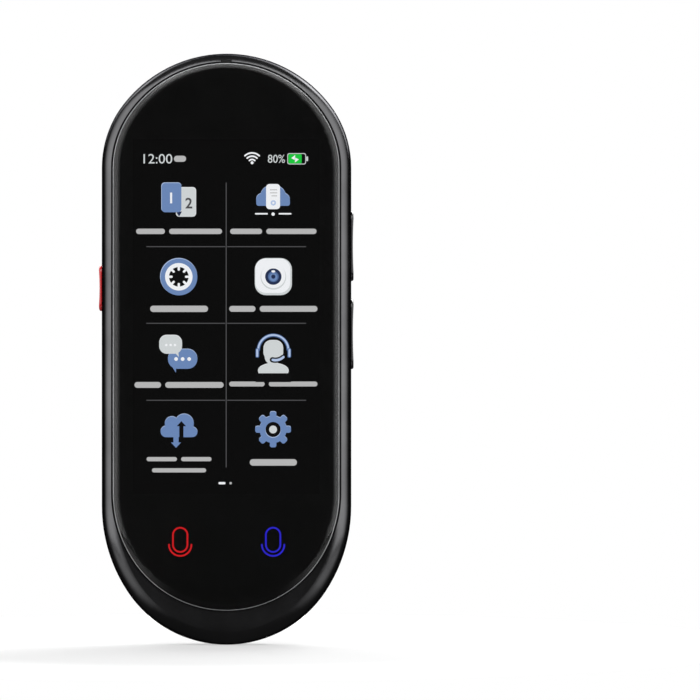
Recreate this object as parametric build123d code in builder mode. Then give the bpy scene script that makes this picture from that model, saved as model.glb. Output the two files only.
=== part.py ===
"""Pocket voice translator: a slim slab with rounded ends, a touch screen in front and a camera behind.

The device stands upright. +Z runs up its length, the screen faces -Y and the camera faces +Y, so +X is
to the right of a person who looks at the screen. The origin is at the middle of the lowest point.
All sizes are in millimetres.
"""

import os
from math import cos, pi, radians, sin, sqrt

from build123d import *

os.makedirs("parts", exist_ok=True)

# ---------------------------------------------------------------- driving dimensions
WIDTH = 53.6
HEIGHT = 127.0
DEPTH = 12.6
HALF = WIDTH / 2

# Each rounded end is a side arc, a tip arc and the mirrored side arc, all tangent.
TOP_RISE = 24.5
TOP_SIDE_RADIUS = 22.3
BOTTOM_RISE = 29.8
BOTTOM_SIDE_RADIUS = 33.3

GLASS_HALF = 24.25
GLASS_BOTTOM_Z = 7.5
GLASS_TOP_Z = 124.77
GLASS_TOP_RISE = 22.4
GLASS_TOP_SIDE_RADIUS = 20.0
GLASS_BOTTOM_RISE = 25.1
GLASS_BOTTOM_SIDE_RADIUS = 26.0

# Stations through the thickness, from the glass to the back of the cover.
FACE_Y = -6.5
GLASS_PROUD = 0.5
GLASS_THICKNESS = 1.1
ADHESIVE_THICKNESS = 0.2
FRAME_DEPTH = 4.4
MID_THICKNESS = 1.2
RIM_Y = FACE_Y + GLASS_PROUD
GLASS_BACK_Y = FACE_Y + GLASS_THICKNESS
LEDGE_Y = GLASS_BACK_Y + ADHESIVE_THICKNESS
FRAME_BACK_Y = RIM_Y + FRAME_DEPTH
MID_BACK_Y = FRAME_BACK_Y + MID_THICKNESS
BACK_Y = FACE_Y + DEPTH
COVER_WALL = 1.2
COVER_INSIDE_Y = BACK_Y - COVER_WALL

RIM_RADIUS = 3.2
CHIN_START_Z = 9.0
CHIN_RADIUS = 60.0
SEAM_RECESS = 0.25
SEAM_BREAK = 0.15
SHOULDER_INSET = 8.65
COVER_STEP = 0.15

CAMERA_Z = 92.5
CAMERA_AXIS = Axis((0, 0, CAMERA_Z), (0, 1, 0))
KEY_Y = (FRAME_BACK_Y + MID_BACK_Y) / 2
KEY_GAP = 0.15
KEY_WALL_X = HALF - 1.7
KEY_POCKET_X = 21.9

BODY = (HALF, 0.0, BOTTOM_RISE, BOTTOM_SIDE_RADIUS, HEIGHT, TOP_RISE, TOP_SIDE_RADIUS)
GLASS = (
    GLASS_HALF,
    GLASS_BOTTOM_Z,
    GLASS_BOTTOM_RISE,
    GLASS_BOTTOM_SIDE_RADIUS,
    GLASS_TOP_Z,
    GLASS_TOP_RISE,
    GLASS_TOP_SIDE_RADIUS,
)


# ---------------------------------------------------------------- shared outlines and planes
def depth_plane(y):
    """Sketch plane at depth y, drawn as (x, z). An extrusion from it runs forward, to the glass."""
    return Plane.XZ.offset(-y)


def rounded_end(half, tip_z, rise, side_radius, inset, up):
    """Right half of one end: start and middle of the side arc, its join with the tip arc, and the tip."""
    tip_radius = ((half - side_radius) ** 2 + rise**2 - side_radius**2) / (2 * (rise - side_radius))
    side_centre = Vector(half - side_radius, tip_z - up * rise)
    tip_centre = Vector(0, tip_z - up * tip_radius)
    outward = (side_centre - tip_centre).normalized() * (1 if tip_radius > side_radius else -1)
    start = Vector(half - inset, side_centre.Y)
    join = tip_centre + outward * (tip_radius - inset)
    bisector = ((start - side_centre).normalized() + outward).normalized()
    middle = side_centre + bisector * (side_radius - inset)
    return start, middle, join, Vector(0, tip_z - up * inset)


def outline_wire(shape, inset=0.0):
    """Closed outline of a slab with two rounded ends, drawn as (x, z) and moved inward by inset."""
    half, low_z, low_rise, low_radius, high_z, high_rise, high_radius = shape
    start, middle, join, tip = rounded_end(half, high_z, high_rise, high_radius, inset, 1)
    low_start, low_middle, low_join, low_tip = rounded_end(half, low_z, low_rise, low_radius, inset, -1)
    with BuildLine() as line:
        Line(low_start, start)
        ThreePointArc(start, middle, join)
        ThreePointArc(join, tip, (-join.X, join.Y))
        ThreePointArc((-join.X, join.Y), (-middle.X, middle.Y), (-start.X, start.Y))
        Line((-start.X, start.Y), (-low_start.X, low_start.Y))
        ThreePointArc((-low_start.X, low_start.Y), (-low_middle.X, low_middle.Y), (-low_join.X, low_join.Y))
        ThreePointArc((-low_join.X, low_join.Y), low_tip, low_join)
        ThreePointArc(low_join, low_middle, low_start)
    return line.wires()[0]


def outline(shape, inset=0.0):
    """The face inside outline_wire."""
    with BuildSketch() as sketch:
        make_face(outline_wire(shape, inset).edges())
    return sketch.sketch_local


def cover_x(y):
    """Half-width of the rear cover at depth y."""
    rise = (y - MID_BACK_Y) / (BACK_Y - MID_BACK_Y)
    return HALF - SHOULDER_INSET + (SHOULDER_INSET - COVER_STEP) * sqrt(1 - rise**2)


# ---------------------------------------------------------------- cut-outs shared by the shells
# Long side keys: centre height, length and width of each cap. side is +1 on the right, -1 on the left.
UPPER_KEY_Z = 85.75
LOWER_KEY_Z = 66.8
LONG_KEY_LENGTH = 15.2
LONG_KEY_WIDTH = 4.6
RED_KEY_Z = 76.65
RED_KEY_LENGTH = 9.9
RED_KEY_WIDTH = 3.6
KEYS = {
    "upper": (1, UPPER_KEY_Z, LONG_KEY_LENGTH, LONG_KEY_WIDTH),
    "lower": (1, LOWER_KEY_Z, LONG_KEY_LENGTH, LONG_KEY_WIDTH),
    "red": (-1, RED_KEY_Z, RED_KEY_LENGTH, RED_KEY_WIDTH),
}
POCKET_MARGIN = 1.3
POCKET_HALF_DEPTH = 2.7
OUTSIDE = 4.0

# Slots for the key caps through the side wall, and the room behind it for flanges and switches.
with BuildPart() as key_openings:
    for side, key_z, key_length, key_width in KEYS.values():
        with BuildSketch(Plane.YZ.offset(side * KEY_POCKET_X)):
            with Locations((KEY_Y, key_z)):
                SlotOverall(key_length + 2 * KEY_GAP, key_width + 2 * KEY_GAP, rotation=90)
        extrude(amount=side * (HALF - KEY_POCKET_X + OUTSIDE))
        with BuildSketch(Plane.YZ.offset(side * KEY_POCKET_X)):
            with Locations((KEY_Y, key_z)):
                Rectangle(2 * POCKET_HALF_DEPTH, key_length + 2 * POCKET_MARGIN)
        extrude(amount=side * (KEY_WALL_X - KEY_POCKET_X))

# Flat scoops in the cover behind each key, with slanted ends, where a fingertip finds the key.
SCOOP_TILT = 14
SCOOP_DROP = 0.35
SCOOP_NEAR = 2.0
SCOOP_CORNER = 0.2
SCOOP_REACH = 1.8
SCOOP_END = 1.2
with BuildPart() as key_scoops:
    for side, key_z, key_length, key_width in KEYS.values():
        edge_y = KEY_Y + key_width / 2 + KEY_GAP
        edge_x = cover_x(edge_y) - SCOOP_DROP
        outward = (side * cos(radians(SCOOP_TILT)), sin(radians(SCOOP_TILT)), 0)
        with BuildSketch(Plane(origin=(side * edge_x, edge_y, key_z), x_dir=(0, 0, 1), z_dir=outward)):
            end = key_length / 2 + SCOOP_END
            rear = -side * SCOOP_REACH
            near = side * SCOOP_NEAR
            corner = -side * SCOOP_CORNER
            Polygon(
                (-end, near),
                (end, near),
                (end, corner),
                (end - SCOOP_REACH, rear),
                (SCOOP_REACH - end, rear),
                (-end, corner),
                align=None,
            )
        extrude(amount=OUTSIDE)

# Charging socket in the bottom end.
PORT_Y = KEY_Y - 0.03
PORT_WIDTH = 8.94
PORT_THICKNESS = 3.26
PORT_GAP = 0.15
PORT_BOTTOM_Z = 0.9
PORT_LENGTH = 7.3
with BuildPart() as port_opening:
    with BuildSketch(Plane.XY.offset(-OUTSIDE)):
        with Locations((0, PORT_Y)):
            SlotOverall(PORT_WIDTH + 2 * PORT_GAP, PORT_THICKNESS + 2 * PORT_GAP)
    extrude(amount=OUTSIDE + PORT_BOTTOM_Z + PORT_LENGTH + PORT_GAP)

# Screws that hold the mid frame to the front frame: places (x, z) around the rim.
RIM_SCREWS = [(24.2, 45.0), (-24.2, 45.0), (24.2, 104.0), (-24.2, 104.0)]
RIM_SCREWS += [(7.0, 123.2), (-7.0, 123.2), (13.0, 6.7), (-13.0, 6.7)]
RIM_SCREW_RADIUS = 0.7
RIM_SCREW_LENGTH = 3.0
RIM_HEAD_RADIUS = 1.2
RIM_HEAD_HEIGHT = 0.6
SCREW_CLEARANCE = 0.05

# Microphone sound paths.
SLIT_WIDTH = 2.3
SLIT_HEIGHT = 0.75
MIC_X = 12.0
MIC_Y = -2.5
MIC_HOLE_RADIUS = 0.45
MIC_Z = 11.0
MIC_WIDTH = 3.5
MIC_HEIGHT = 2.65
MIC_THICKNESS = 1.1
MIC_ROOM = 0.45

# ---------------------------------------------------------------- front frame
GLASS_GAP = 0.42
LEDGE_WIDTH = 1.3
with BuildPart() as front_frame:
    with BuildSketch(depth_plane(FRAME_BACK_Y)):
        add(outline(BODY))
    extrude(amount=FRAME_BACK_Y - RIM_Y)
    # The chin below the glass falls away gently towards the bottom end.
    with BuildSketch(Plane.YZ.offset(-HALF)):
        with Locations((RIM_Y + CHIN_RADIUS, CHIN_START_Z)):
            Rectangle(2 * CHIN_RADIUS, CHIN_START_Z + 1, align=(Align.CENTER, Align.MAX))
            Circle(CHIN_RADIUS, mode=Mode.SUBTRACT)
    extrude(amount=WIDTH, mode=Mode.SUBTRACT)
    front_half_y = (RIM_Y + FRAME_BACK_Y) / 2
    rim_edges = [
        edge
        for edge in front_frame.edges()
        if edge.position_at(0.5).Y < front_half_y
        and abs(edge.tangent_at(0.5).Y) < 0.9
        and not (edge.geom_type == GeomType.LINE and abs(edge.tangent_at(0.5).X) > 0.9)
    ]
    fillet(rim_edges, RIM_RADIUS)
    seam_edges = front_frame.faces().sort_by(Axis.Y)[-1].edges()
    chamfer(seam_edges, SEAM_BREAK)
    with BuildSketch(depth_plane(LEDGE_Y)):
        add(outline(GLASS, -GLASS_GAP))
    extrude(amount=LEDGE_Y - FACE_Y, mode=Mode.SUBTRACT)
    with BuildSketch(depth_plane(FRAME_BACK_Y)):
        add(outline(GLASS, LEDGE_WIDTH))
    extrude(amount=FRAME_BACK_Y - FACE_Y, mode=Mode.SUBTRACT)
    add(key_openings.part, mode=Mode.SUBTRACT)
    add(port_opening.part, mode=Mode.SUBTRACT)
    # Pocket and sound path of the bottom microphone.
    with BuildSketch(depth_plane(FRAME_BACK_Y)):
        with Locations((MIC_X, MIC_Z)):
            Rectangle(MIC_WIDTH + 2 * MIC_ROOM, MIC_HEIGHT + 2 * MIC_ROOM)
    extrude(amount=MIC_THICKNESS + MIC_ROOM, mode=Mode.SUBTRACT)
    with BuildSketch(Plane.XY):
        with Locations((MIC_X, MIC_Y)):
            Circle(MIC_HOLE_RADIUS)
    extrude(amount=MIC_Z - MIC_HEIGHT / 2, mode=Mode.SUBTRACT)
    with BuildSketch(depth_plane(FRAME_BACK_Y)):
        with Locations((0, GLASS_TOP_Z + SLIT_HEIGHT / 2)):
            Rectangle(SLIT_WIDTH, SLIT_HEIGHT)
    extrude(amount=FRAME_BACK_Y - FACE_Y, mode=Mode.SUBTRACT)
    with BuildSketch(depth_plane(FRAME_BACK_Y)):
        with Locations(*RIM_SCREWS):
            Circle(RIM_SCREW_RADIUS)
    extrude(amount=RIM_SCREW_LENGTH - RIM_HEAD_HEIGHT + SCREW_CLEARANCE, mode=Mode.SUBTRACT)
front_frame.part.label = "front_frame"
export_step(front_frame.part, "parts/front_frame.step")

# ---------------------------------------------------------------- cover glass and what is bonded behind it
GLASS_EDGE_RADIUS = 3.0
GLASS_EDGE_WIDTH = 1.5
GLASS_EDGE_DROP = GLASS_EDGE_RADIUS - sqrt(GLASS_EDGE_RADIUS**2 - (GLASS_EDGE_RADIUS - GLASS_EDGE_WIDTH) ** 2)
ARRIS = 0.15
# The outline cuts through the rounded edge of a larger slab, which leaves the shallow start of that curve.
with BuildPart() as cover_glass:
    with BuildSketch(depth_plane(FACE_Y + 2 * GLASS_EDGE_RADIUS)):
        add(outline(GLASS, GLASS_EDGE_WIDTH - GLASS_EDGE_RADIUS))
    extrude(amount=2 * GLASS_EDGE_RADIUS)
    fillet(cover_glass.faces().sort_by(Axis.Y)[0].edges(), GLASS_EDGE_RADIUS)
    with BuildSketch(depth_plane(GLASS_BACK_Y)):
        add(outline(GLASS))
    extrude(amount=GLASS_BACK_Y - FACE_Y, mode=Mode.INTERSECT)
    edge_y = FACE_Y + GLASS_EDGE_DROP
    chamfer(cover_glass.edges().filter_by_position(Axis.Y, edge_y - 0.01, edge_y + 0.01), ARRIS)
cover_glass.part.label = "cover_glass"
export_step(cover_glass.part, "parts/cover_glass.step")

ADHESIVE_INSET = 0.1
ADHESIVE_WIDTH = 1.1
with BuildPart() as glass_adhesive:
    with BuildSketch(depth_plane(LEDGE_Y)):
        add(outline(GLASS, ADHESIVE_INSET))
        add(outline(GLASS, ADHESIVE_INSET + ADHESIVE_WIDTH), mode=Mode.SUBTRACT)
    extrude(amount=LEDGE_Y - GLASS_BACK_Y)
glass_adhesive.part.label = "glass_adhesive"
export_step(glass_adhesive.part, "parts/glass_adhesive.step")

SCREEN_Z = 70.5
PANEL_WIDTH = 42.0
PANEL_HEIGHT = 78.0
PANEL_CORNER = 1.0
PANEL_BACK_Y = GLASS_BACK_Y + 1.3
BACKLIGHT_BACK_Y = PANEL_BACK_Y + 1.2
with BuildPart() as display_panel:
    with BuildSketch(depth_plane(PANEL_BACK_Y)):
        with Locations((0, SCREEN_Z)):
            RectangleRounded(PANEL_WIDTH, PANEL_HEIGHT, PANEL_CORNER)
    extrude(amount=PANEL_BACK_Y - GLASS_BACK_Y)
display_panel.part.label = "display_panel"
export_step(display_panel.part, "parts/display_panel.step")

with BuildPart() as display_backlight:
    with BuildSketch(depth_plane(BACKLIGHT_BACK_Y)):
        with Locations((0, SCREEN_Z)):
            RectangleRounded(PANEL_WIDTH, PANEL_HEIGHT, PANEL_CORNER)
    extrude(amount=BACKLIGHT_BACK_Y - PANEL_BACK_Y)
display_backlight.part.label = "display_backlight"
export_step(display_backlight.part, "parts/display_backlight.step")

# Two foam strips between the backlight and the mid frame.
FOAM_X = 13.0
FOAM_WIDTH = 5.0
FOAM_HEIGHT = 68.0
with BuildPart() as display_foam:
    with BuildSketch(depth_plane(FRAME_BACK_Y)):
        with Locations((-FOAM_X, SCREEN_Z), (FOAM_X, SCREEN_Z)):
            Rectangle(FOAM_WIDTH, FOAM_HEIGHT)
    extrude(amount=FRAME_BACK_Y - BACKLIGHT_BACK_Y)
display_foam.part.label = "display_foam"
export_step(display_foam.part, "parts/display_foam.step")

# Flex from the lower edge of the panel, through a slot in the mid frame, to the back of the lower board.
FLEX = 0.15
BOARD_FRONT_Y = MID_BACK_Y + 1.0
BOARD_BACK_Y = BOARD_FRONT_Y + 0.8
FLEX_SLOT_Z = 25.6
FLEX_X = 13.0
FLEX_WIDTH = 8.0
FLEX_LAP = 4.0
panel_edge_z = SCREEN_Z - PANEL_HEIGHT / 2
panel_flex_y = PANEL_BACK_Y - 0.4
flex_y = BOARD_BACK_Y + FLEX / 2
with BuildPart() as display_flex:
    with BuildSketch(Plane.YZ.offset(FLEX_X - FLEX_WIDTH / 2)):
        with BuildLine():
            Polyline(
                (panel_flex_y, panel_edge_z),
                (panel_flex_y, FLEX_SLOT_Z + FLEX_LAP / 2),
                (FRAME_BACK_Y - 0.6, FLEX_SLOT_Z),
                (flex_y, FLEX_SLOT_Z),
                (flex_y, FLEX_SLOT_Z - FLEX_LAP),
            )
        trace(line_width=FLEX)
    extrude(amount=FLEX_WIDTH)
display_flex.part.label = "display_flex"
export_step(display_flex.part, "parts/display_flex.step")

# Light board behind the two touch keys under the screen, and its two lamps.
TOUCH_KEY_Z = 21.9
TOUCH_KEY_X = 9.95
TOUCH_BOARD_WIDTH = 30.0
TOUCH_BOARD_HEIGHT = 9.0
TOUCH_BOARD_CORNER = 2.0
TOUCH_BOARD_BACK_Y = GLASS_BACK_Y + 0.5
with BuildPart() as touch_key_board:
    with BuildSketch(depth_plane(TOUCH_BOARD_BACK_Y)):
        with Locations((0, TOUCH_KEY_Z)):
            RectangleRounded(TOUCH_BOARD_WIDTH, TOUCH_BOARD_HEIGHT, TOUCH_BOARD_CORNER)
    extrude(amount=TOUCH_BOARD_BACK_Y - GLASS_BACK_Y)
touch_key_board.part.label = "touch_key_board"
export_step(touch_key_board.part, "parts/touch_key_board.step")

LAMP_WIDTH = 2.0
LAMP_DEPTH = 0.6
with BuildPart() as touch_key_lamps:
    with BuildSketch(depth_plane(TOUCH_BOARD_BACK_Y + LAMP_DEPTH)):
        with Locations((-TOUCH_KEY_X, TOUCH_KEY_Z), (TOUCH_KEY_X, TOUCH_KEY_Z)):
            Rectangle(LAMP_WIDTH, LAMP_WIDTH / 2)
    extrude(amount=LAMP_DEPTH)
touch_key_lamps.part.label = "touch_key_lamps"
export_step(touch_key_lamps.part, "parts/touch_key_lamps.step")

# ---------------------------------------------------------------- mid frame
BATTERY_Z = 51.0
BATTERY_WIDTH = 36.0
BATTERY_HEIGHT = 48.0
BATTERY_GAP = 0.3
RIB = 0.8
RIB_HEIGHT = 2.0
BOARD_SCREWS = [(19.0, 80.3), (-19.0, 80.3), (15.0, 108.0), (-15.0, 108.0)]
LOWER_BOARD_SCREWS = [(-7.0, 10.5), (16.5, 18.5)]
BOARD_SCREW_RADIUS = 0.6
BOARD_SCREW_REACH = 1.6
BOSS_RADIUS = 1.5
FLEX_SLOT_WIDTH = 1.0
SEAL_INSET = 0.65
SEAL_WIDTH = 0.5
SEAL_DEPTH = 0.3
with BuildPart() as mid_frame:
    with BuildSketch(depth_plane(MID_BACK_Y)):
        add(outline(BODY, SEAM_RECESS))
    extrude(amount=MID_BACK_Y - FRAME_BACK_Y)
    # Walls around the battery.
    with BuildSketch(depth_plane(MID_BACK_Y + RIB_HEIGHT)):
        with Locations((0, BATTERY_Z)):
            inner_width = BATTERY_WIDTH + 2 * BATTERY_GAP
            inner_height = BATTERY_HEIGHT + 2 * BATTERY_GAP
            Rectangle(inner_width + 2 * RIB, inner_height + 2 * RIB)
            Rectangle(inner_width, inner_height, mode=Mode.SUBTRACT)
    extrude(amount=RIB_HEIGHT)
    # Bosses that carry both boards.
    with BuildSketch(depth_plane(BOARD_FRONT_Y)):
        with Locations(*BOARD_SCREWS, *LOWER_BOARD_SCREWS):
            Circle(BOSS_RADIUS)
    extrude(amount=BOARD_FRONT_Y - MID_BACK_Y)
    with BuildSketch(depth_plane(BOARD_FRONT_Y)):
        with Locations(*BOARD_SCREWS, *LOWER_BOARD_SCREWS):
            Circle(BOARD_SCREW_RADIUS)
    extrude(amount=BOARD_SCREW_REACH + SCREW_CLEARANCE, mode=Mode.SUBTRACT)
    # Slot for the display flex, and holes with counterbores for the rim screws.
    with BuildSketch(depth_plane(MID_BACK_Y)):
        with Locations((FLEX_X, FLEX_SLOT_Z)):
            SlotOverall(FLEX_WIDTH + FLEX_SLOT_WIDTH, FLEX_SLOT_WIDTH)
        with Locations(*RIM_SCREWS):
            Circle(RIM_SCREW_RADIUS + SCREW_CLEARANCE)
    extrude(amount=MID_BACK_Y - FRAME_BACK_Y, mode=Mode.SUBTRACT)
    with BuildSketch(depth_plane(MID_BACK_Y)):
        with Locations(*RIM_SCREWS):
            Circle(RIM_HEAD_RADIUS + SCREW_CLEARANCE)
    extrude(amount=RIM_HEAD_HEIGHT, mode=Mode.SUBTRACT)
    with BuildSketch(depth_plane(MID_BACK_Y)):
        add(outline(BODY, SEAL_INSET))
        add(outline(BODY, SEAL_INSET + SEAL_WIDTH), mode=Mode.SUBTRACT)
    extrude(amount=SEAL_DEPTH, mode=Mode.SUBTRACT)
    add(key_openings.part, mode=Mode.SUBTRACT)
    add(port_opening.part, mode=Mode.SUBTRACT)
mid_frame.part.label = "mid_frame"
export_step(mid_frame.part, "parts/mid_frame.step")

with BuildPart() as rear_seal:
    with BuildSketch(depth_plane(MID_BACK_Y)):
        add(outline(BODY, SEAL_INSET))
        add(outline(BODY, SEAL_INSET + SEAL_WIDTH), mode=Mode.SUBTRACT)
    extrude(amount=SEAL_DEPTH)
    add(key_openings.part, mode=Mode.SUBTRACT)
    add(port_opening.part, mode=Mode.SUBTRACT)
rear_seal.part.label = "rear_seal"
export_step(rear_seal.part, "parts/rear_seal.step")

# ---------------------------------------------------------------- rear cover
SIDE_WALL = 1.4
COVER_LAP = 2.0
BEZEL_NECK_RADIUS = 5.3
RING_PITCH = 2.8
FIRST_RING = 7.2
RINGS = 12
HOLE_RADIUS = 0.7
# Holes of the speaker grille on each ring above the camera; the rest of each ring is dimples.
GRILLE = {3: 4, 4: 6, 5: 8}
# The last ring above the camera holds pairs of dimples: two of every five places.
EDGE_RING = 9
PAIRS = (1, 2)
DIMPLE_RADIUS = 0.62
DIMPLE_DEPTH = 0.2
DIMPLE_BALL = (DIMPLE_RADIUS**2 + DIMPLE_DEPTH**2) / (2 * DIMPLE_DEPTH)
RIM_MARGIN = 1.5
STEEPEST = 0.25
KEY_CLEARANCE = 2.2
# How far the field of dimples reaches below the camera, in steps across the back as seen from behind.
TAILS = [26, 26, 26, 24.6, 32.2, 36.1, 28.3, 31.8, 35, 37.9]
TAILS += [32.2, 34.6, 34, 36.1, 29.1, 30.9, 29.5, 31.3, 27]


def ring_points():
    """Places (x, z) of the grille holes and of the dimples, on rings around the camera."""
    holes = []
    dimples = []
    for ring in range(RINGS):
        radius = FIRST_RING + RING_PITCH * ring
        count = round(2 * pi * radius / RING_PITCH)
        # Rings without holes start on the centre line at both ends, the others only below the camera.
        wanted = 0 if ring < min(GRILLE) else 1
        count += (count - wanted) % 2
        for step in range(count):
            turn = 2 * pi * step / count
            x = radius * sin(turn)
            z = CAMERA_Z - radius * cos(turn)
            from_top = abs(step - count / 2)
            if from_top < GRILLE.get(ring, 0) / 2:
                holes.append((x, z))
            elif ring < EDGE_RING or z < CAMERA_Z or (ring == EDGE_RING and int(from_top) % 5 in PAIRS):
                dimples.append((x, z))
    return holes, dimples


def in_field(x, z):
    """Whether a dimple at (x, z) is inside the ragged lower border of the field and clear of the keys."""
    if abs(x) > HALF - RIM_MARGIN:
        return False
    column = round(-x / RING_PITCH) + len(TAILS) // 2
    if CAMERA_Z - z > TAILS[column] + DIMPLE_RADIUS:
        return False
    for side, key_z, key_length, _ in KEYS.values():
        if side * x > HALF - 2 * KEY_CLEARANCE and abs(z - key_z) < key_length / 2 + KEY_CLEARANCE:
            return False
    return True


grille_holes, ring_dimples = ring_points()
with BuildPart() as rear_cover:
    # Wall and shoulder: one section carried around the outline. It laps over the flat back.
    shoulder_x = HALF - SHOULDER_INSET
    lap_x = shoulder_x - COVER_LAP
    with BuildSketch(Plane.XY.offset(BOTTOM_RISE)):
        with BuildLine():
            outer_reach = SHOULDER_INSET - COVER_STEP
            inner_reach = outer_reach - SIDE_WALL
            rise = BACK_Y - MID_BACK_Y
            outer = EllipticalCenterArc((shoulder_x, MID_BACK_Y), outer_reach, rise, 0, arc_size=90)
            Line(outer @ 1, (lap_x, BACK_Y))
            Line((lap_x, BACK_Y), (lap_x, COVER_INSIDE_Y))
            Line((lap_x, COVER_INSIDE_Y), (shoulder_x, COVER_INSIDE_Y))
            inner_rise = rise - COVER_WALL
            inner = EllipticalCenterArc((shoulder_x, MID_BACK_Y), inner_reach, inner_rise, 0, arc_size=90)
            Line(inner @ 0, outer @ 0)
        make_face()
    sweep(path=Plane.XZ.from_local_coords(outline_wire(BODY)))
    with BuildSketch(depth_plane(BACK_Y)):
        add(outline(BODY, SHOULDER_INSET + COVER_LAP / 2))
    extrude(amount=COVER_WALL)
    skin = rear_cover.part.solid().shell()
    with BuildSketch(depth_plane(BACK_Y)):
        with Locations((0, CAMERA_Z)):
            Circle(BEZEL_NECK_RADIUS + SCREW_CLEARANCE)
        with Locations(*grille_holes):
            Circle(HOLE_RADIUS)
    extrude(amount=2 * COVER_WALL, mode=Mode.SUBTRACT)
    add(key_openings.part, mode=Mode.SUBTRACT)
    add(key_scoops.part, mode=Mode.SUBTRACT)
    add(port_opening.part, mode=Mode.SUBTRACT)
    balls = []
    for x, z in ring_dimples:
        if not in_field(x, z):
            continue
        hits = skin.find_intersection_points(Axis((x, BACK_Y + OUTSIDE, z), (0, -1, 0)))
        if hits and hits[0][1].Y > STEEPEST:
            place, normal = hits[0]
            balls.append(place + normal * (DIMPLE_BALL - DIMPLE_DEPTH))
    with Locations(*balls):
        Sphere(DIMPLE_BALL, mode=Mode.SUBTRACT)
rear_cover.part.label = "rear_cover"
export_step(rear_cover.part, "parts/rear_cover.step")

# ---------------------------------------------------------------- rear camera
BEZEL_RADIUS = 5.95
BEZEL_HEIGHT = 0.55
BEZEL_LIP_HEIGHT = 0.15
WINDOW_RADIUS = 4.9
WINDOW_THICKNESS = 0.6
WINDOW_RECESS = 0.12
BEZEL_BORE_RADIUS = 4.2
BEZEL_LAND = 0.25
BEZEL_REACH = 0.4
BEZEL_TOP_Y = BACK_Y + BEZEL_HEIGHT
WINDOW_BACK_Y = BEZEL_TOP_Y - WINDOW_RECESS - WINDOW_THICKNESS
MODULE_SIZE = 8.5
MODULE_CORNER = 0.6
MODULE_BACK_Y = MID_BACK_Y + 4.0
BARREL_RADIUS = 3.3
BARREL_BACK_Y = WINDOW_BACK_Y - 0.3
BARREL_BEVEL = 0.5
LENS_RADIUS = 2.1
LENS_SEAT_Y = MODULE_BACK_Y + 0.6
camera_section = Plane.XY.offset(CAMERA_Z)

# Ring with a wide chamfer outside and a seat for the window inside.
with BuildPart() as camera_bezel:
    with BuildSketch(camera_section):
        Polygon(
            (BEZEL_BORE_RADIUS, COVER_INSIDE_Y - BEZEL_REACH),
            (BEZEL_NECK_RADIUS, COVER_INSIDE_Y - BEZEL_REACH),
            (BEZEL_NECK_RADIUS, BACK_Y),
            (BEZEL_RADIUS, BACK_Y),
            (BEZEL_RADIUS, BACK_Y + BEZEL_LIP_HEIGHT),
            (WINDOW_RADIUS + BEZEL_LAND, BEZEL_TOP_Y),
            (WINDOW_RADIUS, BEZEL_TOP_Y),
            (WINDOW_RADIUS, WINDOW_BACK_Y),
            (BEZEL_BORE_RADIUS, WINDOW_BACK_Y),
            align=None,
        )
    revolve(axis=CAMERA_AXIS)
camera_bezel.part.label = "camera_bezel"
export_step(camera_bezel.part, "parts/camera_bezel.step")

with BuildPart() as camera_window:
    with BuildSketch(depth_plane(WINDOW_BACK_Y + WINDOW_THICKNESS)):
        with Locations((0, CAMERA_Z)):
            Circle(WINDOW_RADIUS)
    extrude(amount=WINDOW_THICKNESS)
camera_window.part.label = "camera_window"
export_step(camera_window.part, "parts/camera_window.step")

with BuildPart() as camera_module:
    with BuildSketch(depth_plane(MODULE_BACK_Y)):
        with Locations((0, CAMERA_Z)):
            RectangleRounded(MODULE_SIZE, MODULE_SIZE, MODULE_CORNER)
    extrude(amount=MODULE_BACK_Y - MID_BACK_Y)
camera_module.part.label = "camera_module"
export_step(camera_module.part, "parts/camera_module.step")

# Barrel with a bevelled mouth around the lens.
with BuildPart() as camera_barrel:
    with BuildSketch(camera_section):
        Polygon(
            (0, MODULE_BACK_Y),
            (BARREL_RADIUS, MODULE_BACK_Y),
            (BARREL_RADIUS, BARREL_BACK_Y),
            (LENS_RADIUS + BARREL_BEVEL, BARREL_BACK_Y),
            (LENS_RADIUS, BARREL_BACK_Y - BARREL_BEVEL),
            (LENS_RADIUS, LENS_SEAT_Y),
            (0, LENS_SEAT_Y),
            align=None,
        )
    revolve(axis=CAMERA_AXIS)
camera_barrel.part.label = "camera_barrel"
export_step(camera_barrel.part, "parts/camera_barrel.step")

# Front lens: a plano-convex disc seated in the barrel.
LENS_HEIGHT = 0.75
LENS_SAG = 0.45
LENS_BALL = (LENS_RADIUS**2 + LENS_SAG**2) / (2 * LENS_SAG)
lens_top_y = LENS_SEAT_Y + LENS_HEIGHT
with BuildPart() as camera_lens:
    with BuildSketch(depth_plane(lens_top_y)):
        with Locations((0, CAMERA_Z)):
            Circle(LENS_RADIUS)
    extrude(amount=LENS_HEIGHT)
    with Locations((0, lens_top_y - LENS_BALL, CAMERA_Z)):
        Sphere(LENS_BALL, mode=Mode.INTERSECT)
camera_lens.part.label = "camera_lens"
export_step(camera_lens.part, "parts/camera_lens.step")

# Short flex from the side of the module, folded up behind the board to its connector.
CAMERA_FLEX_WIDTH = 5.0
CAMERA_FLEX_GAP = 0.6
CAMERA_FLEX_LAP = 1.8
camera_flex_x = MODULE_SIZE / 2 + CAMERA_FLEX_GAP
camera_flex_y = MID_BACK_Y + 0.4
with BuildPart() as camera_flex:
    with BuildSketch(Plane.XY.offset(CAMERA_Z - CAMERA_FLEX_WIDTH / 2)):
        with BuildLine():
            Polyline(
                (MODULE_SIZE / 2, camera_flex_y),
                (camera_flex_x, camera_flex_y),
                (camera_flex_x, flex_y),
                (camera_flex_x + CAMERA_FLEX_LAP, flex_y),
            )
        trace(line_width=FLEX)
    extrude(amount=CAMERA_FLEX_WIDTH)
camera_flex.part.label = "camera_flex"
export_step(camera_flex.part, "parts/camera_flex.step")

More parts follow.
